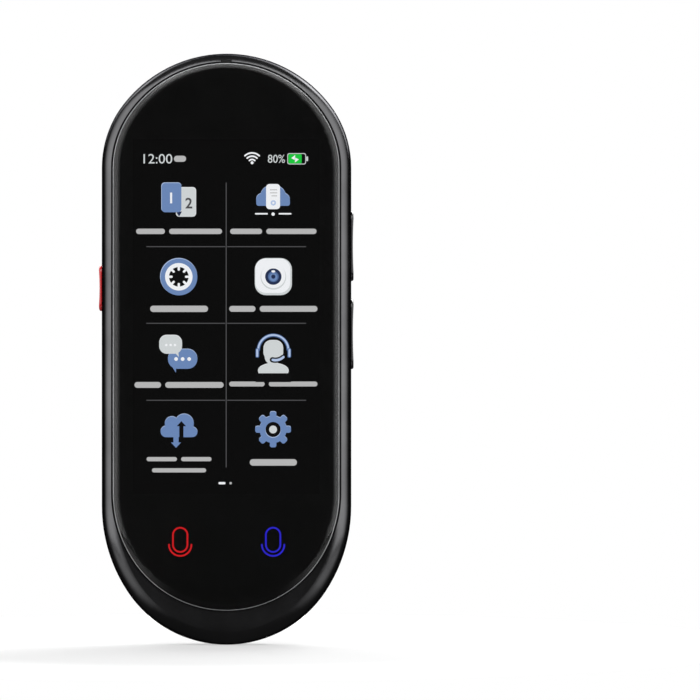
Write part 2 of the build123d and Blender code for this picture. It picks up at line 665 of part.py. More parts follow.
# ---------------------------------------------------------------- loudspeaker
SPEAKER_Z = 110.4
SPEAKER_WIDTH = 23.0
SPEAKER_HEIGHT = 11.0
SPEAKER_CORNER = 3.5
SPEAKER_SURROUND = 1.5
CONE_WIDTH = 3.0
CONE_HEIGHT = 2.0
CONE_DEPTH = 0.5
SPEAKER_BACK_Y = BOARD_BACK_Y + 2.9
GASKET_WIDTH = 1.0
MESH_THICKNESS = 0.1
MESH_FRONT_Y = COVER_INSIDE_Y - MESH_THICKNESS
with BuildPart() as loudspeaker:
    with BuildSketch(depth_plane(SPEAKER_BACK_Y)):
        with Locations((0, SPEAKER_Z)):
            RectangleRounded(SPEAKER_WIDTH, SPEAKER_HEIGHT, SPEAKER_CORNER)
    extrude(amount=SPEAKER_BACK_Y - BOARD_BACK_Y)
    # Recessed cone around a raised dome.
    with BuildSketch(depth_plane(SPEAKER_BACK_Y)):
        with Locations((0, SPEAKER_Z)):
            cone_width = SPEAKER_WIDTH - 2 * SPEAKER_SURROUND
            cone_height = SPEAKER_HEIGHT - 2 * SPEAKER_SURROUND
            dome_width = cone_width - 2 * CONE_WIDTH
            dome_height = cone_height - 2 * CONE_HEIGHT
            RectangleRounded(cone_width, cone_height, SPEAKER_CORNER - SPEAKER_SURROUND)
            SlotOverall(dome_width, dome_height, mode=Mode.SUBTRACT)
    extrude(amount=CONE_DEPTH, mode=Mode.SUBTRACT)
loudspeaker.part.label = "loudspeaker"
export_step(loudspeaker.part, "parts/loudspeaker.step")

with BuildPart() as speaker_gasket:
    with BuildSketch(depth_plane(MESH_FRONT_Y)):
        with Locations((0, SPEAKER_Z)):
            RectangleRounded(SPEAKER_WIDTH, SPEAKER_HEIGHT, SPEAKER_CORNER)
            open_width = SPEAKER_WIDTH - 2 * GASKET_WIDTH
            open_height = SPEAKER_HEIGHT - 2 * GASKET_WIDTH
            RectangleRounded(open_width, open_height, SPEAKER_CORNER - GASKET_WIDTH, mode=Mode.SUBTRACT)
    extrude(amount=MESH_FRONT_Y - SPEAKER_BACK_Y)
speaker_gasket.part.label = "speaker_gasket"
export_step(speaker_gasket.part, "parts/speaker_gasket.step")

with BuildPart() as speaker_mesh:
    with BuildSketch(depth_plane(COVER_INSIDE_Y)):
        with Locations((0, SPEAKER_Z)):
            RectangleRounded(SPEAKER_WIDTH, SPEAKER_HEIGHT, SPEAKER_CORNER)
    extrude(amount=COVER_INSIDE_Y - MESH_FRONT_Y)
speaker_mesh.part.label = "speaker_mesh"
export_step(speaker_mesh.part, "parts/speaker_mesh.step")

# ---------------------------------------------------------------- boards and what is on them
BOARD_INSET = 5.2
MAIN_BOARD_Z = 78.0
CAMERA_ROOM = 0.5
CAMERA_FLEX_ROOM = 1.6
LOWER_BOARD_TOP_Z = 24.0
LOWER_BOARD_LEFT = -9.5
LOWER_BOARD_RIGHT = 19.0
with BuildPart() as main_board:
    with BuildSketch(depth_plane(BOARD_BACK_Y)):
        with Locations((0, MAIN_BOARD_Z)):
            Rectangle(WIDTH, HEIGHT - MAIN_BOARD_Z, align=(Align.CENTER, Align.MIN))
        add(outline(BODY, BOARD_INSET), mode=Mode.INTERSECT)
        with Locations((CAMERA_FLEX_ROOM / 2, CAMERA_Z)):
            room = MODULE_SIZE + 2 * CAMERA_ROOM
            Rectangle(room + CAMERA_FLEX_ROOM, room, mode=Mode.SUBTRACT)
        with Locations(*BOARD_SCREWS):
            Circle(BOARD_SCREW_RADIUS + SCREW_CLEARANCE, mode=Mode.SUBTRACT)
    extrude(amount=BOARD_BACK_Y - BOARD_FRONT_Y)
main_board.part.label = "main_board"
export_step(main_board.part, "parts/main_board.step")

# The lower board carries the charging socket and stops short of the vibration motor.
with BuildPart() as lower_board:
    with BuildSketch(depth_plane(BOARD_BACK_Y)):
        with Locations((LOWER_BOARD_LEFT, 0)):
            Rectangle(LOWER_BOARD_RIGHT - LOWER_BOARD_LEFT, LOWER_BOARD_TOP_Z, align=Align.MIN)
        add(outline(BODY, BOARD_INSET), mode=Mode.INTERSECT)
        with Locations(*LOWER_BOARD_SCREWS):
            Circle(BOARD_SCREW_RADIUS + SCREW_CLEARANCE, mode=Mode.SUBTRACT)
    extrude(amount=BOARD_BACK_Y - BOARD_FRONT_Y)
lower_board.part.label = "lower_board"
export_step(lower_board.part, "parts/lower_board.step")

CAN_X = 13.3
CAN_Z = 93.0
CAN_WIDTH = 10.0
CAN_LENGTH = 18.0
CAN_CORNER = 0.6
CAN_HEIGHT = 1.5
with BuildPart() as shield_cans:
    with BuildSketch(depth_plane(BOARD_BACK_Y + CAN_HEIGHT)):
        with Locations((-CAN_X, CAN_Z), (CAN_X, CAN_Z)):
            RectangleRounded(CAN_WIDTH, CAN_LENGTH, CAN_CORNER)
    extrude(amount=CAN_HEIGHT)
shield_cans.part.label = "shield_cans"
export_step(shield_cans.part, "parts/shield_cans.step")

# Processor, memory, radio and power chips on the front of the main board: centre and size of each.
CHIP_HEIGHT = 0.7
CHIPS = [((-13.0, 97.0), 9.0), ((-13.0, 87.0), 6.0), ((13.5, 96.0), 7.0), ((13.5, 87.5), 5.0)]
with BuildPart() as board_chips:
    with BuildSketch(depth_plane(BOARD_FRONT_Y)):
        for place, size in CHIPS:
            with Locations(place):
                Rectangle(size, size)
    extrude(amount=CHIP_HEIGHT)
board_chips.part.label = "board_chips"
export_step(board_chips.part, "parts/board_chips.step")

# Flat slotted antenna on the mid frame above the main board.
ANTENNA_Z = 119.5
ANTENNA_WIDTH = 18.0
ANTENNA_STRIP = 1.0
ANTENNA_THICKNESS = 0.2
with BuildPart() as wireless_antenna:
    with BuildSketch(depth_plane(MID_BACK_Y + ANTENNA_THICKNESS)):
        with Locations((0, ANTENNA_Z)):
            Rectangle(ANTENNA_WIDTH, 3 * ANTENNA_STRIP)
            Rectangle(ANTENNA_WIDTH - 6 * ANTENNA_STRIP, ANTENNA_STRIP, mode=Mode.SUBTRACT)
    extrude(amount=ANTENNA_THICKNESS)
wireless_antenna.part.label = "wireless_antenna"
export_step(wireless_antenna.part, "parts/wireless_antenna.step")

# Flex that crosses the back of the battery and joins the two boards.
LINK_WIDTH = 10.0
LINK_LAP = 5.0
LINK_STEP = 1.0
BATTERY_BACK_Y = MID_BACK_Y + 4.7
link_y = BATTERY_BACK_Y + FLEX / 2
battery_top_z = BATTERY_Z + BATTERY_HEIGHT / 2
battery_low_z = BATTERY_Z - BATTERY_HEIGHT / 2
with BuildPart() as board_link_flex:
    with BuildSketch(Plane.YZ.offset(-LINK_WIDTH / 2)):
        with BuildLine():
            Polyline(
                (flex_y, MAIN_BOARD_Z + LINK_LAP),
                (flex_y, battery_top_z + 2 * LINK_STEP),
                (link_y, battery_top_z + LINK_STEP),
                (link_y, battery_low_z - LINK_STEP),
                (flex_y, battery_low_z - 2 * LINK_STEP),
                (flex_y, LOWER_BOARD_TOP_Z - LINK_LAP),
            )
        trace(line_width=FLEX)
    extrude(amount=LINK_WIDTH)
board_link_flex.part.label = "board_link_flex"
export_step(board_link_flex.part, "parts/board_link_flex.step")

# Charging socket: a drawn steel shell with a contact tongue, under the lower board.
SHELL_WALL = 0.3
SHELL_FLOOR = 1.0
TONGUE_WIDTH = 6.7
TONGUE_THICKNESS = 0.7
TONGUE_RECESS = 1.0
with BuildPart() as charging_socket:
    with BuildSketch(Plane.XY.offset(PORT_BOTTOM_Z)):
        with Locations((0, PORT_Y)):
            SlotOverall(PORT_WIDTH, PORT_THICKNESS)
    extrude(amount=PORT_LENGTH)
    with BuildSketch(Plane.XY.offset(PORT_BOTTOM_Z)):
        with Locations((0, PORT_Y)):
            SlotOverall(PORT_WIDTH - 2 * SHELL_WALL, PORT_THICKNESS - 2 * SHELL_WALL)
    extrude(amount=PORT_LENGTH - SHELL_FLOOR, mode=Mode.SUBTRACT)
charging_socket.part.label = "charging_socket"
export_step(charging_socket.part, "parts/charging_socket.step")

with BuildPart() as socket_tongue:
    with BuildSketch(Plane.XY.offset(PORT_BOTTOM_Z + TONGUE_RECESS)):
        with Locations((0, PORT_Y)):
            Rectangle(TONGUE_WIDTH, TONGUE_THICKNESS)
    extrude(amount=PORT_LENGTH - SHELL_FLOOR - TONGUE_RECESS)
socket_tongue.part.label = "socket_tongue"
export_step(socket_tongue.part, "parts/socket_tongue.step")

# Two microphones on the front of the mid frame.
with BuildPart() as bottom_microphone:
    with BuildSketch(depth_plane(FRAME_BACK_Y)):
        with Locations((MIC_X, MIC_Z)):
            Rectangle(MIC_WIDTH, MIC_HEIGHT)
    extrude(amount=MIC_THICKNESS)
bottom_microphone.part.label = "bottom_microphone"
export_step(bottom_microphone.part, "parts/bottom_microphone.step")

TOP_MIC_Z = 120.0
with BuildPart() as top_microphone:
    with BuildSketch(depth_plane(FRAME_BACK_Y)):
        with Locations((0, TOP_MIC_Z)):
            Rectangle(MIC_WIDTH, MIC_HEIGHT)
    extrude(amount=MIC_THICKNESS)
top_microphone.part.label = "top_microphone"
export_step(top_microphone.part, "parts/top_microphone.step")

# Dust mesh in the narrow sound slit at the top edge of the glass.
SLIT_MESH_THICKNESS = 0.2
with BuildPart() as top_slit_mesh:
    with BuildSketch(depth_plane(LEDGE_Y)):
        with Locations((0, GLASS_TOP_Z + SLIT_HEIGHT / 2)):
            Rectangle(SLIT_WIDTH, SLIT_HEIGHT)
    extrude(amount=SLIT_MESH_THICKNESS)
top_slit_mesh.part.label = "top_slit_mesh"
export_step(top_slit_mesh.part, "parts/top_slit_mesh.step")

# Coin vibration motor, on the mid frame beside the lower board.
MOTOR_X = -14.8
MOTOR_Z = 18.5
MOTOR_RADIUS = 4.0
MOTOR_THICKNESS = 2.7
MOTOR_ROUNDING = 0.3
with BuildPart() as vibration_motor:
    with BuildSketch(depth_plane(MID_BACK_Y + MOTOR_THICKNESS)):
        with Locations((MOTOR_X, MOTOR_Z)):
            Circle(MOTOR_RADIUS)
    extrude(amount=MOTOR_THICKNESS)
    fillet(vibration_motor.faces().sort_by(Axis.Y)[-1].edges(), MOTOR_ROUNDING)
vibration_motor.part.label = "vibration_motor"
export_step(vibration_motor.part, "parts/vibration_motor.step")

# ---------------------------------------------------------------- battery
TAPE = 0.1
TAPE_MARGIN = 3.0
POUCH_ROUNDING = 1.2
with BuildPart() as battery_tape:
    with BuildSketch(depth_plane(MID_BACK_Y + TAPE)):
        with Locations((0, BATTERY_Z)):
            Rectangle(BATTERY_WIDTH - 2 * TAPE_MARGIN, BATTERY_HEIGHT - 2 * TAPE_MARGIN)
    extrude(amount=TAPE)
battery_tape.part.label = "battery_tape"
export_step(battery_tape.part, "parts/battery_tape.step")

with BuildPart() as battery:
    with BuildSketch(depth_plane(BATTERY_BACK_Y)):
        with Locations((0, BATTERY_Z)):
            Rectangle(BATTERY_WIDTH, BATTERY_HEIGHT)
    extrude(amount=BATTERY_BACK_Y - MID_BACK_Y - TAPE)
    fillet(battery.edges().filter_by(Axis.Z), POUCH_ROUNDING)
battery.part.label = "battery"
export_step(battery.part, "parts/battery.step")

# Plug on the main board and the soldered strip that runs to it from the battery's top edge.
PLUG_X = 12.0
PLUG_Z = MAIN_BOARD_Z + 2.6
PLUG_WIDTH = 6.0
PLUG_HEIGHT = 2.4
PLUG_THICKNESS = 1.0
LEAD_WIDTH = 4.0
LEAD_THICKNESS = 0.2
with BuildPart() as battery_plug:
    with BuildSketch(depth_plane(BOARD_BACK_Y + PLUG_THICKNESS)):
        with Locations((PLUG_X, PLUG_Z)):
            Rectangle(PLUG_WIDTH, PLUG_HEIGHT)
    extrude(amount=PLUG_THICKNESS)
battery_plug.part.label = "battery_plug"
export_step(battery_plug.part, "parts/battery_plug.step")

with BuildPart() as battery_lead:
    with BuildSketch(depth_plane(BOARD_BACK_Y + PLUG_THICKNESS + LEAD_THICKNESS)):
        with Locations((PLUG_X, battery_top_z)):
            Rectangle(LEAD_WIDTH, PLUG_Z + PLUG_HEIGHT / 2 - battery_top_z, align=(Align.CENTER, Align.MIN))
    extrude(amount=LEAD_THICKNESS)
battery_lead.part.label = "battery_lead"
export_step(battery_lead.part, "parts/battery_lead.step")

# ---------------------------------------------------------------- fasteners
with BuildPart() as rim_screws:
    with BuildSketch(depth_plane(MID_BACK_Y)):
        with Locations(*RIM_SCREWS):
            Circle(RIM_HEAD_RADIUS)
    extrude(amount=RIM_HEAD_HEIGHT)
    with BuildSketch(depth_plane(MID_BACK_Y - RIM_HEAD_HEIGHT)):
        with Locations(*RIM_SCREWS):
            Circle(RIM_SCREW_RADIUS)
    extrude(amount=RIM_SCREW_LENGTH - RIM_HEAD_HEIGHT)
rim_screws.part.label = "rim_screws"
export_step(rim_screws.part, "parts/rim_screws.step")

BOARD_HEAD_RADIUS = 1.2
BOARD_HEAD_HEIGHT = 0.5
with BuildPart() as board_screws:
    with BuildSketch(depth_plane(BOARD_BACK_Y + BOARD_HEAD_HEIGHT)):
        with Locations(*BOARD_SCREWS, *LOWER_BOARD_SCREWS):
            Circle(BOARD_HEAD_RADIUS)
    extrude(amount=BOARD_HEAD_HEIGHT)
    with BuildSketch(depth_plane(BOARD_BACK_Y)):
        with Locations(*BOARD_SCREWS, *LOWER_BOARD_SCREWS):
            Circle(BOARD_SCREW_RADIUS)
    extrude(amount=BOARD_BACK_Y - BOARD_FRONT_Y + BOARD_SCREW_REACH)
board_screws.part.label = "board_screws"
export_step(board_screws.part, "parts/board_screws.step")

# ---------------------------------------------------------------- side keys
KEY_RISE = 0.5
RED_KEY_RISE = 0.65
KEY_DISH = 0.15
KEY_DISH_SPAN = 0.78
KEY_ROUNDING = 0.45
FLANGE_GAP = 0.1
FLANGE_THICKNESS = 0.7
FLANGE_OVERHANG = 0.9
FLANGE_WIDTH = 3.2
PLUNGER_RADIUS = 0.6
PLUNGER_LENGTH = 1.1
KEY_BOARD_REACH = 5.0
KEY_BOARD_WIDTH = 3.4
SWITCH_X = 22.4
SWITCH_WIDTH = 2.6
SWITCH_LENGTH = 3.6
SWITCH_DEPTH = 1.35
SWITCH_BORE = 1.05
PIN_CLEARANCE = 0.15
STRIPE_LENGTH = 10.0
STRIPE_WIDTH = 0.4
STRIPE_DEPTH = 0.3
FLANGE_X = KEY_WALL_X - FLANGE_GAP
FLANGE_BACK_X = FLANGE_X - FLANGE_THICKNESS


def key_cap(name, rise):
    """A pill-shaped cap with a rounded rim, a shallow dish along its face and a flange that keeps it in."""
    side, key_z, key_length, key_width = KEYS[name]
    with BuildPart() as cap:
        with BuildSketch(Plane.YZ.offset(side * FLANGE_BACK_X)):
            with Locations((KEY_Y, key_z)):
                SlotOverall(key_length, key_width, rotation=90)
        extrude(amount=side * (HALF + rise - FLANGE_BACK_X))
        fillet(cap.faces().sort_by(Axis.X)[-1 if side > 0 else 0].edges(), KEY_ROUNDING)
        with BuildSketch(Plane.YZ.offset(side * FLANGE_BACK_X)):
            with Locations((KEY_Y, key_z)):
                Rectangle(FLANGE_WIDTH, key_length + 2 * FLANGE_OVERHANG)
        extrude(amount=side * FLANGE_THICKNESS)
        half_span = KEY_DISH_SPAN * key_length / 2
        dish_radius = (half_span**2 + KEY_DISH**2) / (2 * KEY_DISH)
        with BuildSketch(Plane.XZ.offset(-KEY_Y - key_width)):
            with Locations((side * (HALF + rise - KEY_DISH + dish_radius), key_z)):
                Circle(dish_radius)
        extrude(amount=2 * key_width, mode=Mode.SUBTRACT)
    return cap.part


def key_stripe(name, rise):
    """A thin coloured light strip that fills a groove along the middle of a long key's face."""
    side, key_z, key_length, key_width = KEYS[name]
    groove_x = HALF + rise - KEY_DISH - STRIPE_DEPTH
    with BuildPart() as stripe:
        with BuildSketch(Plane.YZ.offset(side * groove_x)):
            with Locations((KEY_Y, key_z)):
                SlotOverall(STRIPE_LENGTH, STRIPE_WIDTH, rotation=90)
        extrude(amount=side * 2 * STRIPE_DEPTH)
    return stripe.part


def key_plunger(name):
    """The pin of the tact switch, which travels with the cap."""
    side, key_z, _, _ = KEYS[name]
    with BuildPart() as plunger:
        with BuildSketch(Plane.YZ.offset(side * FLANGE_BACK_X)):
            with Locations((KEY_Y, key_z)):
                Circle(PLUNGER_RADIUS)
        extrude(amount=-side * PLUNGER_LENGTH)
    return plunger.part


def key_switch(name):
    """The fixed case of the tact switch, with a blind hole for the pin."""
    side, key_z, _, _ = KEYS[name]
    with BuildPart() as switch:
        with BuildSketch(Plane.YZ.offset(side * SWITCH_X)):
            with Locations((KEY_Y, key_z)):
                Rectangle(SWITCH_WIDTH, SWITCH_LENGTH)
        extrude(amount=side * SWITCH_DEPTH)
        with BuildSketch(Plane.YZ.offset(side * (SWITCH_X + SWITCH_DEPTH))):
            with Locations((KEY_Y, key_z)):
                Circle(PLUNGER_RADIUS + PIN_CLEARANCE)
        extrude(amount=-side * SWITCH_BORE, mode=Mode.SUBTRACT)
    return switch.part


def key_board(name):
    """The narrow board that carries one switch."""
    side, key_z, _, _ = KEYS[name]
    with BuildPart() as board:
        with BuildSketch(Plane.YZ.offset(side * KEY_POCKET_X)):
            with Locations((KEY_Y, key_z)):
                Rectangle(KEY_BOARD_WIDTH, 2 * KEY_BOARD_REACH)
        extrude(amount=side * (SWITCH_X - KEY_POCKET_X))
    return board.part


for key_name in ("upper", "lower"):
    cap_blank = key_cap(key_name, KEY_RISE)
    stripe_blank = key_stripe(key_name, KEY_RISE)
    with BuildPart() as key_face:
        add(cap_blank)
        add(stripe_blank, mode=Mode.SUBTRACT)
    key_face.part.label = f"{key_name}_key"
    export_step(key_face.part, f"parts/{key_name}_key.step")
    with BuildPart() as light_strip:
        add(stripe_blank)
        add(cap_blank, mode=Mode.INTERSECT)
    light_strip.part.label = f"{key_name}_key_light"
    export_step(light_strip.part, f"parts/{key_name}_key_light.step")

red_key = key_cap("red", RED_KEY_RISE)
red_key.label = "red_key"
export_step(red_key, "parts/red_key.step")

for key_name in KEYS:
    pin = key_plunger(key_name)
    pin.label = f"{key_name}_switch_pin"
    export_step(pin, f"parts/{key_name}_switch_pin.step")
    case = key_switch(key_name)
    case.label = f"{key_name}_switch"
    export_step(case, f"parts/{key_name}_switch.step")
    carrier = key_board(key_name)
    carrier.label = f"{key_name}_key_board"
    export_step(carrier, f"parts/{key_name}_key_board.step")
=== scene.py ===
import math

import bmesh
import bpy
from mathutils import Matrix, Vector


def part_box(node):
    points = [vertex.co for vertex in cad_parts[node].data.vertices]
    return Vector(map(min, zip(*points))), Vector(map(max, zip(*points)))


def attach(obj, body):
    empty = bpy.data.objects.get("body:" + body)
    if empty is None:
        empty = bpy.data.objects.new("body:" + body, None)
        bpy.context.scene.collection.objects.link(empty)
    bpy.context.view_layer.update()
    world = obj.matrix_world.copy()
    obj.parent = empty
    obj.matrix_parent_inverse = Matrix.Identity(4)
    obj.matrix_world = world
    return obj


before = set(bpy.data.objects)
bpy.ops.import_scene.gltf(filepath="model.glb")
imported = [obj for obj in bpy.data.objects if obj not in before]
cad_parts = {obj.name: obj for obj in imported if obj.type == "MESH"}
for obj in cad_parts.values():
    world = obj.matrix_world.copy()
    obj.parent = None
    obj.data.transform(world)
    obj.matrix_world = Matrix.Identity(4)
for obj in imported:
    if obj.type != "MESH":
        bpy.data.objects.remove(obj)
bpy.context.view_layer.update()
MM = 0.001


# ---------------------------------------------------------------- camera, floor and studio light
# The device stands on a pale floor in a white studio, seen level and square to its screen with a long lens.
# Wide soft boxes beside and above the front light the rounded edges and fade out towards the camera, so that
# the flat glass stays black. Small ones close behind the device light its back from above.

# The picture is 700 elements wide, and each covers 0.2141 mm at the front of the glass. The middle of the
# device lies at CENTRE_COLUMN and its lowest point at BASE_ROW.
PICTURE_SIDE = 700
ELEMENT = 0.2141 * MM
CENTRE_COLUMN = 226.1
BASE_ROW = 645.8
LENS = 250
SENSOR = 36
FACE_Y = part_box("cover_glass")[0].y

distance = PICTURE_SIDE * ELEMENT * LENS / SENSOR
camera_data = bpy.data.cameras.new("camera")
camera_data.lens = LENS
camera_data.sensor_width = SENSOR
camera = bpy.data.objects.new("camera", camera_data)
aim_x = (PICTURE_SIDE / 2 - CENTRE_COLUMN) * ELEMENT
aim_z = (BASE_ROW - PICTURE_SIDE / 2) * ELEMENT
camera.location = (aim_x, FACE_Y - distance, aim_z)
camera.rotation_euler = (math.radians(90), 0, 0)
bpy.context.scene.collection.objects.link(camera)
bpy.context.scene.camera = camera
bpy.context.scene.view_settings.view_transform = "Standard"


def add_node(tree, kind, inputs=None, **settings):
    """Adds a shader node. Each input is set to a value, or linked where a socket is given."""
    new = tree.nodes.new("ShaderNode" + kind)
    for name, value in settings.items():
        setattr(new, name, value)
    for socket, value in (inputs or {}).items():
        if isinstance(value, bpy.types.NodeSocket):
            tree.links.new(value, new.inputs[socket])
        else:
            new.inputs[socket].default_value = value
    return new


def math_of(tree, operation, *values):
    """The outcome of a Math node, as a socket."""
    return add_node(tree, "Math", dict(enumerate(values)), operation=operation).outputs[0]


def ramp(tree, value, start=0.0, end=1.0, low=0.0, high=1.0, curve="LINEAR"):
    """A socket that goes from low to high while the value goes from start to end."""
    return add_node(tree, "MapRange", {"Value": value, "From Min": start, "From Max": end, "To Min": low,
                                       "To Max": high}, interpolation_type=curve).outputs[0]


LAMP_AIM = (0, 0, 0.063)


def softbox(name, azimuth, elevation, width, height, brightness, fades=(), reach=0.9):
    """A rectangular lamp that faces the middle of the device. Azimuth 0 is in front, 90 on the right. Each
    fade names an axis of the lamp, and where on it, from 0 to 1, the lamp is dark and where it is bright."""
    turn = math.radians(azimuth)
    rise = math.radians(elevation)
    data = bpy.data.lights.new(name, "AREA")
    data.shape = "RECTANGLE"
    data.size = width
    data.size_y = height
    data.energy = brightness * math.pi * width * height
    if fades:
        data.use_nodes = True
        cloth = data.node_tree
        across = add_node(cloth, "SeparateXYZ", {0: add_node(cloth, "TexCoord").outputs["UV"]}).outputs
        glow = 1.0
        for axis, dark, bright in fades:
            fade = ramp(cloth, across[axis], dark, bright, curve="SMOOTHSTEP")
            glow = math_of(cloth, "MULTIPLY", fade, glow)
        cloth.links.new(glow, cloth.nodes["Emission"].inputs["Strength"])
    lamp = bpy.data.objects.new(name, data)
    back = Matrix.Rotation(turn, 3, "Z") @ Matrix.Rotation(-rise, 3, "X")
    lamp.matrix_world = (Matrix.Translation(LAMP_AIM) @ back.to_4x4() @ Matrix.Translation((0, -reach, 0))
                         @ Matrix.Rotation(math.radians(90), 4, "X"))
    lamp.visible_camera = False
    bpy.context.scene.collection.objects.link(lamp)


softbox("left_front_box", -55, 16, 2.15, 1.25, 1.8, (("X", 1.0, 0.6), ("X", 0.0, 0.5)))
softbox("right_front_box", 55, 16, 2.15, 1.25, 1.8, (("X", 0.0, 0.4), ("X", 1.0, 0.5)))
softbox("high_front_box", 0, 42, 0.9, 0.8, 2.4, (("Y", 0.0, 0.7),))
softbox("left_back_box", 212, 38, 0.3, 0.28, 4.8, reach=0.38)
softbox("right_back_box", 138, 36, 0.3, 0.28, 4.8, reach=0.38)
softbox("high_back_box", 150, 46, 0.4, 0.3, 5.5, reach=0.5)


def ray_kinds(tree):
    """Sockets that are 1 for rays from the camera, and for rays sent on by a glossy surface or glass."""
    rays = add_node(tree, "LightPath").outputs
    return rays["Is Camera Ray"], math_of(tree, "MAXIMUM", rays["Is Glossy Ray"], rays["Is Transmission Ray"])


# Beyond the soft boxes the room is dim, with a pale ceiling. The white backdrop hangs straight behind the
# device, where the camera, glossy surfaces and glass see it. Its fade runs over cosines of the angle from
# straight behind, and that of the ceiling over cosines of the angle from overhead.
ROOM = 0.04
CEILING = 0.1
BACKDROP_FADE = (0.97, 0.995)
CEILING_FADE = (0.3, 1.0)
PLAIN_WHITE = (1, 1, 1, 1)
world = bpy.data.worlds.new("studio")
bpy.context.scene.world = world
world.use_nodes = True
sky = world.node_tree
sky.nodes.clear()
compass = add_node(sky, "SeparateXYZ", {0: add_node(sky, "TexCoord").outputs["Generated"]}).outputs
straight_behind = ramp(sky, compass["Y"], *BACKDROP_FADE, curve="SMOOTHSTEP")
overhead = ramp(sky, compass["Z"], *CEILING_FADE, ROOM, CEILING, "SMOOTHSTEP")
from_camera, mirrored = ray_kinds(sky)
backdrop_share = math_of(sky, "MAXIMUM", from_camera, math_of(sky, "MULTIPLY", mirrored, straight_behind))
room_light = add_node(sky, "Background", {"Color": PLAIN_WHITE, "Strength": overhead}).outputs[0]
backdrop = add_node(sky, "Background", {"Color": PLAIN_WHITE, "Strength": 1.0}).outputs[0]
chosen = add_node(sky, "MixShader", {0: backdrop_share, 1: room_light, 2: backdrop}).outputs[0]
add_node(sky, "OutputWorld", {"Surface": chosen})

# The floor is a disc that keeps the shadow of the device. Its glow grows to white at the rim, so that no edge
# shows against the backdrop. Glossy surfaces and glass see it dim, but for a pale card on either side of the
# front. Each card fade runs from where there is no card to where the card is whole.
FLOOR_RADIUS = 0.115
FLOOR_GAP = 0.02 * MM
FLOOR_GREY = 0.3
FLOOR_GLOW = 0.5
GLOW_FADE = (0.55 * FLOOR_RADIUS, 0.97 * FLOOR_RADIUS)
FLOOR_MIRRORED = 0.05
CARD_GLOW = 0.8
BETWEEN_CARDS = 0.1 * CARD_GLOW
CARD_ASIDE = (0.015, 0.045)
CARD_BEFORE = (0.0, -0.03)
CARD_NEAR = (0.014, 0.026)
CARD_FAR = (FLOOR_RADIUS, 0.08)
floor_shape = bmesh.new()
bmesh.ops.create_circle(floor_shape, cap_ends=True, segments=96, radius=FLOOR_RADIUS,
                        matrix=Matrix.Translation((0, 0, -FLOOR_GAP)))
floor_mesh = bpy.data.meshes.new("floor")
floor_shape.to_mesh(floor_mesh)
floor_shape.free()
floor = bpy.data.objects.new("floor", floor_mesh)
bpy.context.scene.collection.objects.link(floor)
floor_paint = bpy.data.materials.new("floor_paint")
floor_paint.use_nodes = True
paint = floor_paint.node_tree
paint.nodes.clear()
matte = add_node(paint, "BsdfDiffuse", {"Color": (FLOOR_GREY, FLOOR_GREY, FLOOR_GREY, 1)})
spot = add_node(paint, "TexCoord").outputs["Object"]
from_middle = add_node(paint, "VectorMath", {0: spot}, operation="LENGTH").outputs["Value"]
glow = ramp(paint, from_middle, *GLOW_FADE, FLOOR_GLOW, 1.0, "SMOOTHSTEP")
from_camera, mirrored = ray_kinds(paint)
glow = math_of(paint, "MULTIPLY", glow, from_camera)
lit = add_node(paint, "Emission", {"Color": PLAIN_WHITE, "Strength": glow})
lifted = add_node(paint, "AddShader", {0: matte.outputs[0], 1: lit.outputs[0]})
place = add_node(paint, "SeparateXYZ", {0: spot}).outputs
aside = math_of(paint, "ABSOLUTE", place["X"])
card = ramp(paint, aside, *CARD_ASIDE, BETWEEN_CARDS, CARD_GLOW, "SMOOTHSTEP")
for value, fade in ((place["Y"], CARD_BEFORE), (from_middle, CARD_NEAR), (from_middle, CARD_FAR)):
    card = math_of(paint, "MULTIPLY", card, ramp(paint, value, *fade, curve="SMOOTHSTEP"))
card = math_of(paint, "MAXIMUM", card, FLOOR_MIRRORED)
dim = add_node(paint, "Emission", {"Color": PLAIN_WHITE, "Strength": card})
shown = add_node(paint, "MixShader", {0: mirrored, 1: lifted.outputs[0], 2: dim.outputs[0]})
add_node(paint, "OutputMaterial", {"Surface": shown.outputs[0]})
floor_mesh.materials.append(floor_paint)


# ---------------------------------------------------------------- front frame
# The rounded bezel that carries the glass: polycarbonate, injection moulded, with a glossy black lacquer that
# holds a very fine metal flake. Its chin slopes back below the glass, and screws in its back hold the tray.
LACQUER = (0.105, 0.105, 0.108)
LACQUER_METAL = 1.0
LACQUER_ROUGHNESS = 0.2
LACQUER_EDGE_TINT = (0.1, 0.1, 0.1, 1)


def new_group(name, inputs, outputs):
    """A shader node group with named inputs and outputs, ready for its nodes."""
    group = bpy.data.node_groups.new(name, "ShaderNodeTree")
    for label, kind, value in inputs:
        socket = group.interface.new_socket(label, in_out="INPUT", socket_type="NodeSocket" + kind)
        socket.default_value = value
    for label, kind in outputs:
        group.interface.new_socket(label, in_out="OUTPUT", socket_type="NodeSocket" + kind)
    return group, group.nodes.new("NodeGroupInput").outputs, group.nodes.new("NodeGroupOutput").inputs


def scaled(tree, color, factor):
    """A colour made lighter or darker by a factor, as a socket."""
    return add_node(tree, "VectorMath", {0: color, "Scale": factor}, operation="SCALE").outputs[0]


